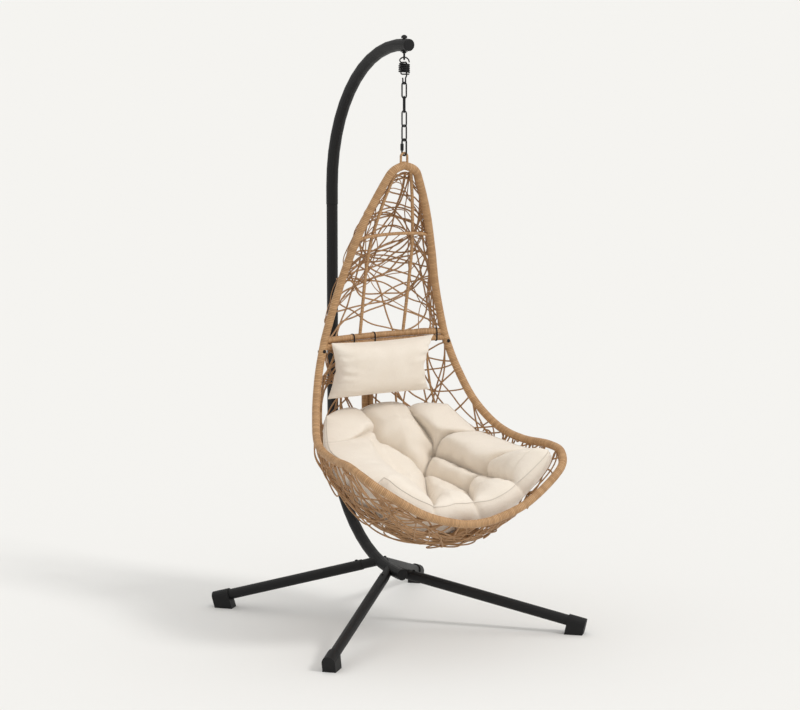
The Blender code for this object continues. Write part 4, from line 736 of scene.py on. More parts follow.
def arched_rib():
    height = APEX_HEIGHT - ARCH_RIB_DROP
    wide, back, low = rim_point(height - 0.014)
    rib = hood_rib(1.0)
    forward = rib[np.argmin(np.abs(rib[:, 2] - height))][1] - 2.0 * RIB_RADIUS - 0.0014
    return smooth_path([
        (-wide, back, low), (-wide * 0.66, forward, height - 0.004), (0.0, forward, height),
        (wide * 0.66, forward, height - 0.004), (wide, back, low)], 60)


def inner_line(across, radius, extra):
    """Line just inside the bowl, from the lower cross bar to the front rim."""
    lift = SOLID_STRAND + GAP + radius + RIB_LIFT + extra
    path = [BOWL.inside(share, across, lift) for share in np.linspace(0.0, 1.0, 45)]
    path[0] = bar_place(path[0][0], LOWER_BAR_HEIGHT) - np.array((0.0, 0.003, 0.0))
    path[-1] = path[-1] + np.array((0.0, 0.0, WEAVE_OFFSET - lift))
    return path


def post_line(side):
    path = inner_line(0.0, POST_RADIUS, POST_LIFT)
    for place in path:
        place[0] = side * (POST_RADIUS + GAP / 2.0)
    return path


for side, label in ((1.0, "left"), (-1.0, "right")):
    bound_tube("dressed_hood_rib_" + label, hood_rib(side), RIB_RADIUS, "back_rib_" + label, 10, 0.0045)
    bound_tube("dressed_post_" + label, post_line(side), POST_RADIUS, "back_post_" + label, 12)
bound_tube("dressed_arched_rib", arched_rib(), RIB_RADIUS, "back_rib_arch", 10, 0.0045)
for number, across in enumerate(SEAT_RIB_SHARES, start=1):
    line = inner_line(across, SEAT_RIB_RADIUS, 0.0)
    bound_tube("dressed_seat_rib_%d" % number, line, SEAT_RIB_RADIUS, "seat_rib_%d" % number, 8, 0.0040)

# %% [markdown]
# ## Wicker
# The wicker is long round cane, pulled criss-cross from rim to rim and pushed into loops and curls
# until the net holds. It can't be drawn strand by strand. Each strand is a straight line on the
# unfolded shell, bowed, curled and shaken by noise there, and then carried onto the curved shell
# by its map, so that all of it lies in the shell whatever its shape. The ends run into the tubes.

# %% A shell as a mesh with a map
SHEET_STEPS = 56                 # faces along and across a shell


def shell_sheet(name, shell):
    """Grid over the shell, with its map and its outward normal stored for the tree."""
    corners, outward, flat = [], [], []
    for row in range(SHEET_STEPS + 1):
        for column in range(SHEET_STEPS + 1):
            share, across = row / SHEET_STEPS, 2.0 * column / SHEET_STEPS - 1.0
            corners.append(shell.point(share, across))
            outward.append(-shell.normal(share, across))
            flat.append((share, column / SHEET_STEPS))
    faces = []
    for row in range(SHEET_STEPS):
        for column in range(SHEET_STEPS):
            first = row * (SHEET_STEPS + 1) + column
            faces.append((first, first + 1, first + SHEET_STEPS + 2, first + SHEET_STEPS + 1))
    mesh = bpy.data.meshes.new(name)
    mesh.from_pydata([tuple(place) for place in to_frame(corners)], [], faces)
    layer = mesh.uv_layers.new(name="unfolded")
    for loop in mesh.loops:
        layer.data[loop.index].uv = flat[loop.vertex_index]
    way = mesh.attributes.new("outward", "FLOAT_VECTOR", "POINT")
    way.data.foreach_set("vector", np.array(outward, dtype=np.float32).ravel())
    return mesh


# %% Tree that grows wicker on a shell
def wicker_tree():
    tree, wires, given, result = new_tree(
        "wicker", "GeometryNodeTree",
        (("Shell", GEOMETRY, None), ("Strands", COUNT, 60), ("Seed", COUNT, 1),
         ("Steps", COUNT, 60), ("From", NUMBER, 0.0), ("Side Share", NUMBER, 2.0),
         ("Shortest", NUMBER, 0.25), ("Longest", NUMBER, 0.60), ("Bow", NUMBER, 0.10),
         ("Curl", NUMBER, 0.05), ("Curl Scale", NUMBER, 4.0), ("Loops", NUMBER, 0.0),
         ("Loop Size", NUMBER, 0.0), ("Radius", NUMBER, 0.0024), ("Lift", NUMBER, 0.0),
         ("Weave", NUMBER, 0.003), ("Finish", FINISH, None)),
        (("Wicker", GEOMETRY),))

    def fill_shown(node, *values):
        """Fills the sockets that the node shows, in order, and gives its result."""
        for value, socket in zip(values, [socket for socket in node.inputs if socket.enabled]):
            wires.join(value, socket)
        return [socket for socket in node.outputs if socket.enabled][0]

    def random_number(low, high, salt):
        dice = wires.add("FunctionNodeRandomValue", data_type="FLOAT")
        wires.join(wires.plus(given["Seed"], float(salt)), dice.inputs["Seed"])
        return fill_shown(dice, low, high)

    # Every strand starts and ends somewhere on the outline of the unfolded shell.
    inputs = {"Width": given["Side Share"], "Height": 1.0}
    outline = wires.first("GeometryNodeCurvePrimitiveQuadrilateral", inputs)
    squeeze = wires.combine(wires.math("DIVIDE", 1.0, given["Side Share"]), 1.0, 1.0)
    starts = random_number(0.0, 1.0, 1)
    reach = random_number(given["Shortest"], given["Longest"], 2)
    ends = wires.math("FRACT", wires.plus(starts, reach))
    points = wires.first("GeometryNodePoints", {"Count": given["Strands"]})
    for label, factor in (("start", starts), ("finish", ends)):
        sample = wires.add("GeometryNodeSampleCurve", {"Curves": outline, "Factor": factor},
                           mode="FACTOR", use_all_curves=True)
        spot = wires.vector("MULTIPLY", sample.outputs["Position"], squeeze)
        points = wires.store(points, label, spot, "FLOAT_VECTOR")
    points = wires.store(points, "own_tone", random_number(0.0, 1.0, 3))
    points = wires.store(points, "own_bow", random_number(-1.0, 1.0, 4))
    points = wires.store(points, "own_turn", random_number(-1.0, 1.0, 5))
    points = wires.store(points, "own_place", random_number(0.0, 50.0, 6))

    # One line of steps stands at every start.
    line = wires.first("GeometryNodeMeshLine", {"Count": given["Steps"]}, mode="OFFSET")
    number = wires.first("GeometryNodeInputIndex")
    number = wires.math("DIVIDE", number, wires.minus(given["Steps"], 1.0))
    line = wires.store(line, "share", number)
    copies = wires.first("GeometryNodeInstanceOnPoints", {"Points": points, "Instance": line})
    strands = wires.first("GeometryNodeRealizeInstances", {"Geometry": copies})

    # On the map each line runs to its end, bows aside, is shaken by noise and turns in curls.
    share, own_place = wires.recall("share"), wires.recall("own_place")
    start = wires.recall("start", "FLOAT_VECTOR")
    across = wires.vector("SUBTRACT", wires.recall("finish", "FLOAT_VECTOR"), start)
    straight = wires.vector("MULTIPLY_ADD", across, share, start)
    square = wires.vector("CROSS_PRODUCT", across, (0.0, 0.0, 1.0))
    arch = wires.math("SINE", wires.times(share, math.pi))
    free = wires.math("POWER", arch, 0.5)
    bow = wires.times(wires.times(arch, given["Bow"]), wires.recall("own_bow"))
    bowed = wires.vector("MULTIPLY_ADD", square, bow, straight)
    inputs = {"Vector": bowed, "W": own_place, "Scale": given["Curl Scale"], "Detail": 1.0}
    shake = wires.add("ShaderNodeTexNoise", inputs, noise_dimensions="4D").outputs[1]
    shake = wires.vector("SUBTRACT", shake, (0.5, 0.5, 0.5))
    shaken = wires.vector("MULTIPLY_ADD", shake, wires.times(free, given["Curl"]), bowed)
    spin = wires.times(wires.times(share, given["Loops"]), 2.0 * math.pi)
    spin = wires.plus(wires.times(spin, wires.recall("own_turn")), own_place)
    curl = wires.combine(wires.math("COSINE", spin), wires.math("SINE", spin))
    curled = wires.vector("MULTIPLY_ADD", curl, wires.times(free, given["Loop Size"]), shaken)

    # The map's own corner is at zero, and a layer can start part of the way down the shell.
    on_map = wires.vector("ADD", curled, (0.5, 0.5, 0.0))
    stretch = wires.combine(wires.minus(1.0, given["From"]), 1.0, 1.0)
    on_map = wires.vector("MULTIPLY_ADD", on_map, stretch, wires.combine(given["From"]))
    on_map = wires.vector("MAXIMUM", on_map, (0.001, 0.001, 0.0))
    on_map = wires.vector("MINIMUM", on_map, (0.999, 0.999, 0.0))

    def on_shell(value):
        node = wires.add("GeometryNodeSampleUVSurface", data_type="FLOAT_VECTOR")
        return fill_shown(node, given["Shell"], value, wires.recall("unfolded", "FLOAT_VECTOR"), on_map)

    # There it lies on the shell, over and under the others, and becomes round cane.
    place = on_shell(wires.first("GeometryNodeInputPosition"))
    outward = on_shell(wires.recall("outward", "FLOAT_VECTOR"))
    wave = wires.plus(wires.times(share, 34.0), own_place)
    over = wires.times(wires.math("SINE", wave), given["Weave"])
    lift = wires.times(wires.plus(over, given["Lift"]), free)
    lifted = wires.vector("MULTIPLY_ADD", outward, lift, place)
    strands = wires.first("GeometryNodeSetPosition", {"Geometry": strands, "Position": lifted})
    lines = wires.first("GeometryNodeMeshToCurve", {"Mesh": strands})
    inputs = {"Resolution": 6, "Radius": given["Radius"]}
    cane = sweep(wires, lines, wires.first("GeometryNodeCurvePrimitiveCircle", inputs))
    finish_tree(wires, cane, given["Finish"], result["Wicker"])
    return tree


WICKER = wicker_tree()


def wicker_layer(name, nodes, shell, **sizes):
    """One layer of strands on a shell, in place of the solids that are named."""
    values = {"Finish": STRANDS}
    for label, value in sizes.items():
        values[label.strip("_").replace("_", " ").title()] = value
    piece = grow(name, shell_sheet(name + "_sheet", shell), WICKER, values)
    return dress(piece, "basket", "rattan_strand", *nodes)


# %% [markdown]
# ### The hood's wicker
# In the hood the cane runs in long easy arcs from side to side, with a second, thinner layer
# further back, and near the rims it bunches up and bulges out past them.

# %% Wicker of the hood
HOOD = back_shell(0.0, 0.004, 0.004)
HOOD_BULGED = back_shell(0.004, 0.010, 0.016, 0.10)
wicker_layer("hood_wicker", ["upper_weave"], HOOD, strands=46, seed=11, steps=64, side_share=3.2,
             shortest=0.20, longest=0.60, bow=0.34, curl=0.20, curl_scale=2.6, radius=0.0028,
             lift=0.004, weave=0.0015)
wicker_layer("hood_wicker_behind", [], HOOD_BULGED, strands=20, seed=23, steps=72, side_share=3.0,
             shortest=0.15, longest=0.6, bow=0.45, curl=0.24, curl_scale=3.0, radius=0.0017,
             lift=0.012, weave=0.003)

# %% [markdown]
# ### The bowl's wicker
# Long arcs carry the whole bowl. Below the cushion the net is much denser, because it takes the
# sitter's weight: there the cane is worked into curls about as wide as a hand, in two layers, and
# the pale cover shows in the gaps.

# %% Wicker of the bowl
BOWL_CENTRED = seat_shell(0.0, 0.004, 0.004)
BOWL_OUTSIDE = seat_shell(0.002, 0.006, 0.006, 0.02)
wicker_layer("bowl_wicker", ["lower_weave"], BOWL_CENTRED, strands=42, seed=5, steps=90,
             side_share=1.6, shortest=0.18, longest=0.58, bow=0.42, curl=0.20, curl_scale=2.6,
             radius=0.0028, lift=0.002, weave=0.002)
wicker_layer("bowl_curls", [], BOWL_CENTRED, strands=23, seed=8, steps=120, from_=0.44,
             side_share=1.2, shortest=0.20, longest=0.60, bow=0.30, curl=0.16, curl_scale=3.0,
             loops=4.5, loop_size=0.052, radius=0.0028, lift=0.001, weave=0.002)
wicker_layer("bowl_curls_outside", [], BOWL_OUTSIDE, strands=11, seed=31, steps=120, from_=0.40,
             side_share=1.2, shortest=0.18, longest=0.55, bow=0.25, curl=0.20, curl_scale=4.0,
             loops=5.0, loop_size=0.050, radius=0.0025, lift=0.010, weave=0.006)

# %% [markdown]
# ## Cushions
# Both covers are one plain woven cloth. Close up it shows its over and under weave, with thicker
# yarns here and there, and a faint sheen at grazing angles, as brushed cotton has.

# %% Shared effect: plain weave
def weave_group():
    """Height and tone of a plain weave, from a cloth's own map in metres."""
    tree, wires, given, result = new_tree(
        "plain_weave", "ShaderNodeTree", (("Pitch", NUMBER, 0.0011), ("Slub", NUMBER, 0.5)),
        (("Height", NUMBER), ("Slubs", NUMBER)))
    place = wires.stored("cloth", "Vector")
    grid = wires.scaled(place, wires.math("DIVIDE", 2.0 * math.pi, given["Pitch"]))
    parts = wires.add("ShaderNodeSeparateXYZ", {0: grid}).outputs

    def yarns(one, other):
        return wires.times(wires.math("SINE", one), wires.math("COSINE", wires.times(other, 0.5)))

    def thick_spots(scale):
        stretched = wires.first("ShaderNodeMapping", {"Vector": place, "Scale": scale})
        return wires.noise(stretched, 1.0, 2.0)

    over = wires.plus(yarns(parts["X"], parts["Y"]), yarns(parts["Y"], parts["X"]))
    slubs = wires.plus(thick_spots((60.0, 900.0, 1.0)), thick_spots((900.0, 60.0, 1.0)))
    slubs = wires.times(slubs, 0.5)
    height = wires.plus(wires.times(over, 0.5), wires.times(slubs, given["Slub"]))
    wires.join(height, result["Height"])
    wires.join(slubs, result["Slubs"])
    return tree


PLAIN_WEAVE = weave_group()


# %% Cushion cover
# Painted shade for the stitched channels and seams of the covers.
SEAM_SHADE = (0.400, 0.330, 0.260, 1.0)


def cover_finish(name, light, dark):
    material, wires, sockets = start_material(name)
    cloth = wires.add("ShaderNodeGroup", node_tree=PLAIN_WEAVE).outputs
    soil = wires.noise(wires.here(), 11.0, 4.0)
    tone = wires.plus(wires.times(cloth["Slubs"], 0.6), wires.times(soil, 0.4))
    clean = wires.mix(wires.remap(tone, 0.38, 0.60), dark, light)
    # Painted shade darkens the cover along the stitched channels and the seams.
    shaded = wires.mix(wires.times(wires.stored("seam"), 0.60), clean, SEAM_SHADE)
    wires.join(shaded, sockets["Base Color"])
    set_values(sockets, Roughness=0.92, Specular_IOR_Level=0.25, Sheen_Weight=0.22, Sheen_Roughness=0.55)
    add_bump(wires, sockets, cloth["Height"], 0.00035, 0.5)
    return material


COVER = cover_finish("cream_cover", (0.880, 0.805, 0.710, 1.0), (0.825, 0.745, 0.645, 1.0))
# The piping is the cover's own cloth with its colours painted darker, as shade along the cushion's edge
# seam.
PIPING_PAINTED_SHADE = cover_finish("cream_piping_painted_shade", (0.700, 0.635, 0.555, 1.0), (0.620, 0.560, 0.485, 1.0))

# %% [markdown]
# ### Seat cushion
# A thick round-cornered cushion is laid into the bowl, and its stitching decides its look: a middle
# panel held by four tufts, with eight lobes round it that swell up between the channels, and a piped
# seam round the edge. The lobes follow from the channels, so the channels are written as short
# lines on the bowl's map, and the cover sinks towards the nearest ones. Creases that fan out beside
# the channels come from noise that fades away from them.

# %% Sizes and stitching of the seat cushion
SEAT_THICKNESS = 0.150
SEAT_EDGE = 0.058                # height of the piped edge over the ribs
SEAT_CENTRE = 0.640
SEAT_BACK_REACH = 0.445
SEAT_FRONT_REACH = 0.343
SEAT_SIDE_REACH = 0.985
CORNER_BACK, CORNER_FRONT_RIGHT, CORNER_FRONT_LEFT = 0.62, 0.70, 0.05
CHANNEL_WIDTH = 0.040
CHANNEL_ROUND = 0.002
CHANNEL_SHARE = 0.80
STITCH_WIDTH = 0.008
STITCH_SHARE = 0.30
SEAM_WIDTH = 0.0036
DEEPEST = 0.44
TUFT_WIDTH = 0.035
CREASE_HEIGHT = 0.0070
CREASE_AT, CREASE_SPREAD = 0.34, 0.16
FOLD_HEIGHT = 0.0050
RIM_LIFT = 0.018                 # how far the lobes rise just inside the edge
RIM_AT, RIM_SPREAD = 0.74, 0.20
SIDE_THINNING = 0.55
FRONT_THINNING = 0.13
SEAT_SCALLOP = 0.15
MAP_LENGTH = 1.18
MAP_WIDTH = 0.36
TUFT_BACK, TUFT_LEFT, TUFT_RIGHT, TUFT_FRONT = (0.455, 0.42), (0.52, 0.235), (0.715, 0.63), (0.70, 0.43)
CHANNELS = (
    (0.44, (TUFT_BACK, TUFT_LEFT)),
    (0.40, (TUFT_LEFT, (0.60, 0.33), TUFT_FRONT)),
    (0.42, (TUFT_FRONT, (0.71, 0.52), TUFT_RIGHT)),
    (0.44, (TUFT_RIGHT, (0.58, 0.56), TUFT_BACK)),
    (0.42, ((0.18, -0.22), (0.26, -0.21), (0.34, -0.20), (0.38, -0.17), (0.42, 0.0), (0.47, 0.12),
            TUFT_LEFT)),
    (0.42, ((0.18, 0.40), (0.27, 0.43), (0.35, 0.48), (0.41, 0.48), TUFT_BACK)),
    (0.40, (TUFT_BACK, (0.42, 0.60), (0.41, 0.83), (0.43, 1.02))),
    (0.40, (TUFT_RIGHT, (0.73, 0.78), (0.78, 0.93), (0.81, 1.02))),
    (0.40, (TUFT_FRONT, (0.80, 0.33), (0.92, 0.20), (1.0, 0.10))),
    (0.40, (TUFT_LEFT, (0.70, 0.02), (0.89, -0.22), (1.0, -0.36))),
    (0.40, (TUFT_RIGHT, (0.85, 0.60), (1.0, 0.58))),
    (0.22, ((0.34, -0.20), (0.35, -0.45), (0.41, -1.0))),
)


def to_cloth(share, across):
    """The bowl's map in metres."""
    return np.stack([np.asarray(share) * MAP_LENGTH, np.asarray(across) * MAP_WIDTH], axis=-1)


def distance_to_line(places, knots):
    """Distance from each place to a line through a few knots, all in metres."""
    line = to_cloth(*np.array(smooth_path([(a, b, 0.0) for a, b in knots], 24))[:, :2].T)
    nearest = np.full(places.shape[:-1], 1e9)
    for start, end in zip(line[:-1], line[1:]):
        way = end - start
        share = np.clip(((places - start) @ way) / (way @ way), 0.0, 1.0)
        gap = places - start - share[..., None] * way
        nearest = np.minimum(nearest, np.linalg.norm(gap, axis=-1))
    return nearest


class Fitted:
    """Points and normals of the bowl on a grid, read in between by straight lines."""

    def __init__(self, shell, low, rows=100, columns=81):
        shares = np.linspace(low, 1.0, rows)
        sides = np.linspace(-1.0, 1.0, columns)
        self.low, self.rows, self.columns = low, rows, columns
        self.places = np.array([[shell.point(share, across) for across in sides] for share in shares])
        self.normals = np.array([[shell.normal(share, across) for across in sides] for share in shares])

    def read(self, field, share, across):
        row = np.clip((share - self.low) / (1.0 - self.low), 0.0, 1.0) * (self.rows - 1)
        column = np.clip((across + 1.0) / 2.0, 0.0, 1.0) * (self.columns - 1)
        top = np.minimum(row.astype(int), self.rows - 2)
        left = np.minimum(column.astype(int), self.columns - 2)
        down, over = (row - top)[..., None], (column - left)[..., None]
        upper = field[top, left] * (1.0 - over) + field[top, left + 1] * over
        lower = field[top + 1, left] * (1.0 - over) + field[top + 1, left + 1] * over
        return upper * (1.0 - down) + lower * down


FITTED_BOWL = Fitted(BOWL, 0.12)


def frame_clearance(width):
    """How far the cushion's underside stays off the shell, over the ribs and the posts."""
    ribs = SOLID_STRAND + 2.0 * SEAT_RIB_RADIUS + GAP + RIB_LIFT + 0.0009
    posts = SOLID_STRAND + 2.0 * POST_RADIUS + GAP + RIB_LIFT + POST_LIFT + 0.0014
    beside = np.maximum(np.abs(width) - 2.0 * POST_RADIUS - 0.020, 0.0)
    return ribs + (posts - ribs) * np.exp(-(beside / 0.034) ** 2)


def fan_noise(places, scale, salt):
    """Smooth noise on an array of places."""
    flat = places.reshape(-1, places.shape[-1])
    values = [noise.noise(Vector((a * scale, b * scale, salt))) for a, b in flat]
    return np.array(values).reshape(places.shape[:-1])


def hump(values, middle, spread):
    """1 at the middle value, fading to 0 on both sides of it."""
    return np.exp(-((values - middle) / spread) ** 2)


# %% Build the seat cushion
SEAT_STEPS = 220
GRID_EASE = 0.86                 # how far the grid's lines draw together towards the edge


def seat_map(u, v):
    """From the square of the grid to the cushion's outline on the bowl's map."""
    front = np.where(v > 0.0, CORNER_FRONT_LEFT, CORNER_FRONT_RIGHT)
    rounding = np.where(u > 0.0, front, CORNER_BACK)
    along = u * np.sqrt(1.0 - rounding * v ** 2 / 2.0)
    aside = v * np.sqrt(1.0 - rounding * u ** 2 / 2.0)
    share = SEAT_CENTRE + np.where(u > 0.0, SEAT_FRONT_REACH, SEAT_BACK_REACH) * along
    return share, SEAT_SIDE_REACH * aside


def sewn_in(places):
    """How deep each place is drawn in by the channels, and how near it is to a seam."""
    sewn, seam = np.zeros(places.shape[:-1]), np.zeros(places.shape[:-1])
    for depth, knots in CHANNELS:
        away = np.hypot(distance_to_line(places, knots), CHANNEL_ROUND)
        wide = np.exp((CHANNEL_ROUND - away) / CHANNEL_WIDTH)
        stitched = np.exp((CHANNEL_ROUND - away) / STITCH_WIDTH)
        sewn += (depth * (CHANNEL_SHARE * wide + STITCH_SHARE * stitched)) ** 3
        seam = np.maximum(seam, depth / DEEPEST * hump(away, 0.0, SEAM_WIDTH))
    return sewn ** (1.0 / 3.0), seam


def tufted(places):
    tufts = np.zeros(places.shape[:-1])
    for spot in (TUFT_BACK, TUFT_LEFT, TUFT_RIGHT, TUFT_FRONT):
        away = np.linalg.norm(places - to_cloth(*spot), axis=-1)
        tufts = np.maximum(tufts, hump(away, 0.0, TUFT_WIDTH))
    return tufts


def seat_heights(u, v):
    """Place on the map, height of the upper and the under side, and nearness to a seam."""
    share, across = seat_map(u, v)
    places = to_cloth(share, across)
    sewn, seam = sewn_in(places)
    creases = fan_noise(places, 26.0, 3.0) * hump(sewn, CREASE_AT, CREASE_SPREAD) * CREASE_HEIGHT
    folds = fan_noise(places * (1.0, 0.5), 17.0, 8.0) * FOLD_HEIGHT
    outer = np.clip(np.maximum(np.abs(u), np.abs(v)), 0.0, 1.0)
    scallop = SEAT_SCALLOP * sewn * outer ** 6
    share = SEAT_CENTRE + (share - SEAT_CENTRE) * (1.0 - scallop)
    across = across * (1.0 - 0.5 * scallop)
    rim_lift = RIM_LIFT * hump(outer, RIM_AT, RIM_SPREAD)
    crown = np.sqrt((1.0 - np.abs(u) ** 7) * (1.0 - np.abs(v) ** 7))
    thinned = 1.0 - SIDE_THINNING * np.abs(v) ** 4 * (u < 0.9)
    edge = SEAT_EDGE * thinned * np.where(u > 0.0, 1.0 + 0.10 * u, 1.0)
    rest = frame_clearance(across * MAP_WIDTH)
    front = 1.0 - FRONT_THINNING * np.clip((u - 0.15) / 0.5, 0.0, 1.0)
    puff = (SEAT_THICKNESS * front + rim_lift) * (1.0 - sewn) * (1.0 - 0.10 * tufted(places))
    upper = rest + edge + (puff + creases + folds - edge) * crown
    under = rest + edge * (1.0 - crown ** 0.8)
    return share, across, upper, under, seam


def two_sided(name, upper, under, cloth):
    """Closed mesh from two grids that share their outline."""
    rows, columns = upper.shape[:2]
    index = np.arange(rows * columns).reshape(rows, columns)
    lower_index = index.copy()
    inner = np.zeros((rows, columns), bool)
    inner[1:-1, 1:-1] = True
    lower_index[inner] = rows * columns + np.arange(int(inner.sum()))
    corners = np.vstack([upper.reshape(-1, 3), under[inner]])
    flat = np.vstack([cloth.reshape(-1, 2), cloth[inner]])
    faces = []
    for row in range(rows - 1):
        for column in range(columns - 1):
            block = ((row, column), (row + 1, column), (row + 1, column + 1), (row, column + 1))
            faces.append([int(index[spot]) for spot in block])
            faces.append([int(lower_index[spot]) for spot in block[::-1]])
    mesh = bpy.data.meshes.new(name)
    mesh.from_pydata([tuple(place) for place in corners], [], faces)
    flat = np.column_stack([flat, np.zeros(len(flat))]).astype(np.float32)
    mesh.attributes.new("cloth", "FLOAT_VECTOR", "POINT").data.foreach_set("vector", flat.ravel())
    shape = bmesh.new()
    shape.from_mesh(mesh)
    bmesh.ops.recalc_face_normals(shape, faces=shape.faces)
    for face in shape.faces:
        face.smooth = True
    shape.to_mesh(mesh)
    shape.free()
    mesh.materials.append(COVER)
    return add_object(name, mesh)


def outline_of(surface):
    """Every second point of the grid's outer ring, as a closed path."""
    ring = np.vstack([surface[0, :-1], surface[:-1, -1], surface[-1, :0:-1], surface[:0:-1, 0]])
    return ring[::2]


def build_seat_cushion():
    steps = np.linspace(-1.0, 1.0, SEAT_STEPS)
    steps = np.sin(steps * math.pi / 2.0 * GRID_EASE) / math.sin(math.pi / 2.0 * GRID_EASE)
    share, across, upper, under, seam = seat_heights(*np.meshgrid(steps, steps, indexing="ij"))
    base = FITTED_BOWL.read(FITTED_BOWL.places, share, across)
    way = FITTED_BOWL.read(FITTED_BOWL.normals, share, across)
    way /= np.linalg.norm(way, axis=-1)[..., None]
    base[..., 1] += HANG_Y
    surface = base + way * upper[..., None]
    underside = base + way * under[..., None]
    piece = two_sided("dressed_seat_cushion", surface, underside, to_cloth(share, across))
    marked = np.zeros(len(piece.data.vertices), np.float32)
    marked[:seam.size] = seam.ravel()
    piece.data.attributes.new("seam", "FLOAT", "POINT").data.foreach_set("value", marked)
    return piece, outline_of(surface)


seat_cushion, SEAT_OUTLINE = build_seat_cushion()
dress(seat_cushion, "basket", "cream_fabric", "seat_cushion")
piping = plain_tube("seat_piping", SEAT_OUTLINE, 0.0016, 8, 0.004, PIPING_PAINTED_SHADE)
dress(piping, "basket", "cream_fabric")

# %% [markdown]
# ### Head pillow
# A small stuffed oblong that leans on the cross bars. Its corners are points, because the filling
# doesn't reach them, and the sides between them are drawn in, most of all on the photograph's right.

# %% Build the head pillow
PILLOW_WIDTH = 0.385
PILLOW_HEIGHT = 0.190
PILLOW_THICKNESS = 0.095
PILLOW_ASIDE = -0.018
PILLOW_DROP = 0.676
PILLOW_LEAN = 8.0
PILLOW_PINCH = 0.30              # how far the right side is drawn in
PILLOW_LEFT_SHARE = 0.45         # how much of that the left side gets
PILLOW_SAG = 0.075
PILLOW_FULLNESS = 3.2
PILLOW_FRONT, PILLOW_REAR = 0.66, -0.34    # shares of the thickness on both sides of the seam


def build_pillow():
    steps = np.sin(np.linspace(-1.0, 1.0, 130) * math.pi / 2.0)
    rises = np.sin(np.linspace(-1.0, 1.0, 90) * math.pi / 2.0)
    a, b = np.meshgrid(steps, rises, indexing="ij")
    right = np.where(a > 0.0, 1.0, PILLOW_LEFT_SHARE)
    drawn = 1.0 - PILLOW_PINCH * right * np.abs(a) ** 5 * (1.0 - np.abs(b) ** 1.2)
    sag = 1.0 - PILLOW_SAG * np.abs(b) ** 3 * (1.0 - a ** 2)
    puff = np.sqrt((1.0 - np.abs(a) ** PILLOW_FULLNESS) * (1.0 - np.abs(b) ** PILLOW_FULLNESS))
    cloth = np.stack([a * PILLOW_WIDTH / 2.0, b * PILLOW_HEIGHT / 2.0], axis=-1)
    creases = fan_noise(cloth * (0.25, 1.0), 60.0, 1.0) * np.abs(a) ** 4 * (0.014 + 0.008 * right)
    creases = fan_noise(cloth, 16.0, 5.0) * 0.004 + creases
    depth = PILLOW_THICKNESS * puff
    turn = np.array(Matrix.Rotation(math.radians(PILLOW_LEAN), 3, "X"))
    sides = []
    for share in (PILLOW_FRONT, PILLOW_REAR):
        aside = a * drawn * PILLOW_WIDTH / 2.0
        out = -depth * share - creases * puff * math.copysign(1.0, share)
        local = np.stack([aside, out, b * sag * PILLOW_HEIGHT / 2.0], axis=-1)
        sides.append(local @ turn.T + (PILLOW_ASIDE, 0.0, APEX_HEIGHT - PILLOW_DROP))
    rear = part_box("head_pillow")[1][1]
    shift = rear - max(float(side[..., 1].max()) for side in sides)
    for side in sides:
        side[..., 1] += shift
    return two_sided("dressed_head_pillow", sides[0], sides[1], cloth), outline_of(sides[0])


head_pillow, PILLOW_OUTLINE = build_pillow()
dress(head_pillow, "basket", "cream_fabric", "head_pillow")
pillow_seam = plain_tube("pillow_seam", PILLOW_OUTLINE, 0.0011, 6, 0.003, COVER)
dress(pillow_seam, "basket", "cream_fabric")

# %% [markdown]
# ## Finishes of the stand and the small parts
# Steel, plastic and hardware keep the shape of their solids, so only their material changes.

# %% Materials on the pieces that stay as they are
CORNERS = ["%s_%s" % (end, side) for end in ("front", "rear") for side in ("left", "right")]
COATED = ["lower_pole", "upper_pole"] + ["leg_" + corner for corner in CORNERS]
MOULDED = ["pole_top_cap", "pole_hub_cap"] + ["boot_" + corner for corner in CORNERS]
MOULDED += ["bar_tie_%d" % number for number in (1, 2, 3)]
BARE = ["pole_joint_screw", "eye_bolt", "eye_bolt_washer", "eye_bolt_nut",
        "spring_upper_drawbar", "spring_lower_drawbar", "quick_link", "quick_link_nut"]
BARE += ["chain_link_%d" % number for number in (1, 2, 3, 4)]
BARE += ["leg_screw_" + corner for corner in CORNERS]
BARE += ["joint_%s_%s" % (kind, side) for kind in ("bolt", "nut") for side in ("left", "right")]
for nodes, material in ((COATED, STEEL), (MOULDED, PLASTIC), (BARE, HARDWARE)):
    for node in nodes:
        finishes = bpy.data.objects[node].data.materials
        finishes.clear()
        finishes.append(material)
    print("%s on %d solids" % (material.name, len(nodes)))

# %% [markdown]
# ### Shock coil
# The coil is wound from round wire, and the feet of the two drawbars squeeze it when the sitter
# bounces. It is the one piece here that really changes shape, so it is swept again and given a
# mesh of its own.

# %% Shock coil
COIL_WIRE = 0.0028
COIL_RADIUS = 0.0162
COIL_PITCH = 0.0060
COIL_START = math.radians(-30.0)
COIL_STEPS = 24                  # points in one turn


def build_shock_coil():
    low, high = (Vector(corner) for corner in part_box("coil_spring"))
    middle = (low + high) / 2.0
    height = high.z - low.z
    turns = (height - 2.0 * COIL_WIRE) / COIL_PITCH
    path = []
    for turn in np.linspace(0.0, turns, int(turns * COIL_STEPS)):
        angle = COIL_START + 2.0 * math.pi * turn
        aside, back = COIL_RADIUS * math.cos(angle), COIL_RADIUS * math.sin(angle)
        path.append((middle.x + aside, middle.y + back, low.z + COIL_WIRE + COIL_PITCH * turn))
    coil = plain_tube("shock_coil", path, COIL_WIRE, 10, 0.003, HARDWARE, closed=False)
    dress(coil, "spring_top", "dark_steel", "coil_spring")
    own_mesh(coil)
    print("shock_coil turns: %.2f" % turns)


build_shock_coil()

# %% [markdown]
# ## The photograph's view and light
# A studio product shot: a long lens from just above the chair's top, tipped down nine degrees, a
# soft light from the front right with a wider one from the ceiling, and a floor that runs on into a
# pale backdrop, so that only a faint shadow shows.

# %% Camera
CAMERA_PLACE = (-4.672, -8.043 + HANG_Y, 2.392)
CAMERA_PITCH = 90.0 - 8.9856
CAMERA_HEADING = -30.0684
LENS = 129.53

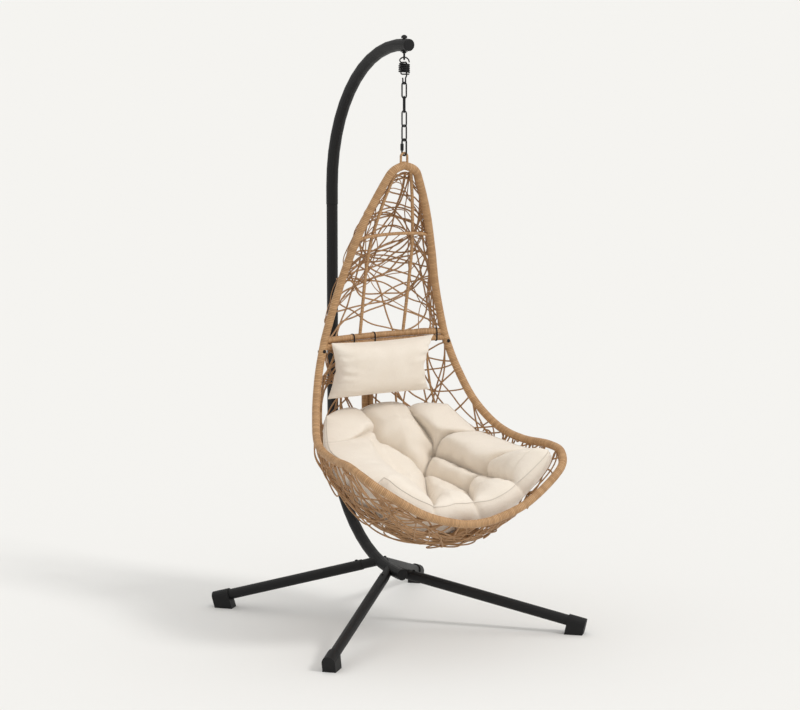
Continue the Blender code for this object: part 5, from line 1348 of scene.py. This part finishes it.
lens = bpy.data.cameras.new("view")
lens.sensor_width = 36.0
lens.lens = LENS
lens.clip_end = 400.0
camera = add_object("view", lens)
camera.location = CAMERA_PLACE
camera.rotation_euler = (math.radians(CAMERA_PITCH), 0.0, math.radians(CAMERA_HEADING))
scene = bpy.context.scene
scene.camera = camera
scene.render.resolution_x = 800
scene.render.resolution_y = 710
scene.view_settings.view_transform = "Standard"

# %% Backdrop, sky light and sun
BACKDROP = (0.905, 0.896, 0.863, 1.0)
SKY_COLOUR = (1.0, 0.99, 0.97, 1.0)
SKY_STRENGTH = 0.61
LAMP_COLOUR = (1.0, 0.985, 0.96)
SUN_STRENGTH = 1.05
SUN_SPREAD = 11.0
SUN_FROM = (0.564, -1.02, 1.0)
TOP_STRENGTH = 0.88
TOP_SPREAD = 110.0
TOP_FROM = (0.0, 0.0, 1.0)
FLOOR_COLOUR = (0.824, 0.825, 0.816, 1.0)
FLOOR_HALF = 100.0


def build_world():
    world = bpy.data.worlds.new("studio")
    scene.world = world
    world.use_nodes = True
    world.node_tree.nodes.clear()
    wires = Wiring(world.node_tree)
    seen = wires.add("ShaderNodeLightPath").outputs["Is Camera Ray"]
    pale = wires.first("ShaderNodeBackground", {"Color": BACKDROP, "Strength": 1.0})
    soft = wires.first("ShaderNodeBackground", {"Color": SKY_COLOUR, "Strength": SKY_STRENGTH})
    both = wires.first("ShaderNodeMixShader", {0: seen, 1: soft, 2: pale})
    wires.add("ShaderNodeOutputWorld", {"Surface": both})


def build_lamp(name, strength, spread, direction):
    sun = bpy.data.lights.new(name, "SUN")
    sun.energy = strength
    sun.angle = math.radians(spread)
    sun.color = LAMP_COLOUR
    lamp = add_object(name, sun)
    lamp.rotation_euler = Vector(direction).to_track_quat("Z", "Y").to_euler()


def floor_finish():
    """Just dark enough to look like the backdrop under these lights."""
    material, _, sockets = start_material("pale_floor")
    set_values(sockets, Base_Color=FLOOR_COLOUR, Roughness=0.9, Specular_IOR_Level=0.0)
    return material


def build_floor():
    far = FLOOR_HALF
    corners = [(-far, -far, 0.0), (far, -far, 0.0), (far, far, 0.0), (-far, far, 0.0)]
    mesh = bpy.data.meshes.new("floor")
    mesh.from_pydata(corners, [], [(0, 1, 2, 3)])
    mesh.materials.append(floor_finish())
    floor = add_object("floor", mesh)


build_world()
build_lamp("soft_window", SUN_STRENGTH, SUN_SPREAD, SUN_FROM)
build_lamp("ceiling_panel", TOP_STRENGTH, TOP_SPREAD, TOP_FROM)
build_floor()
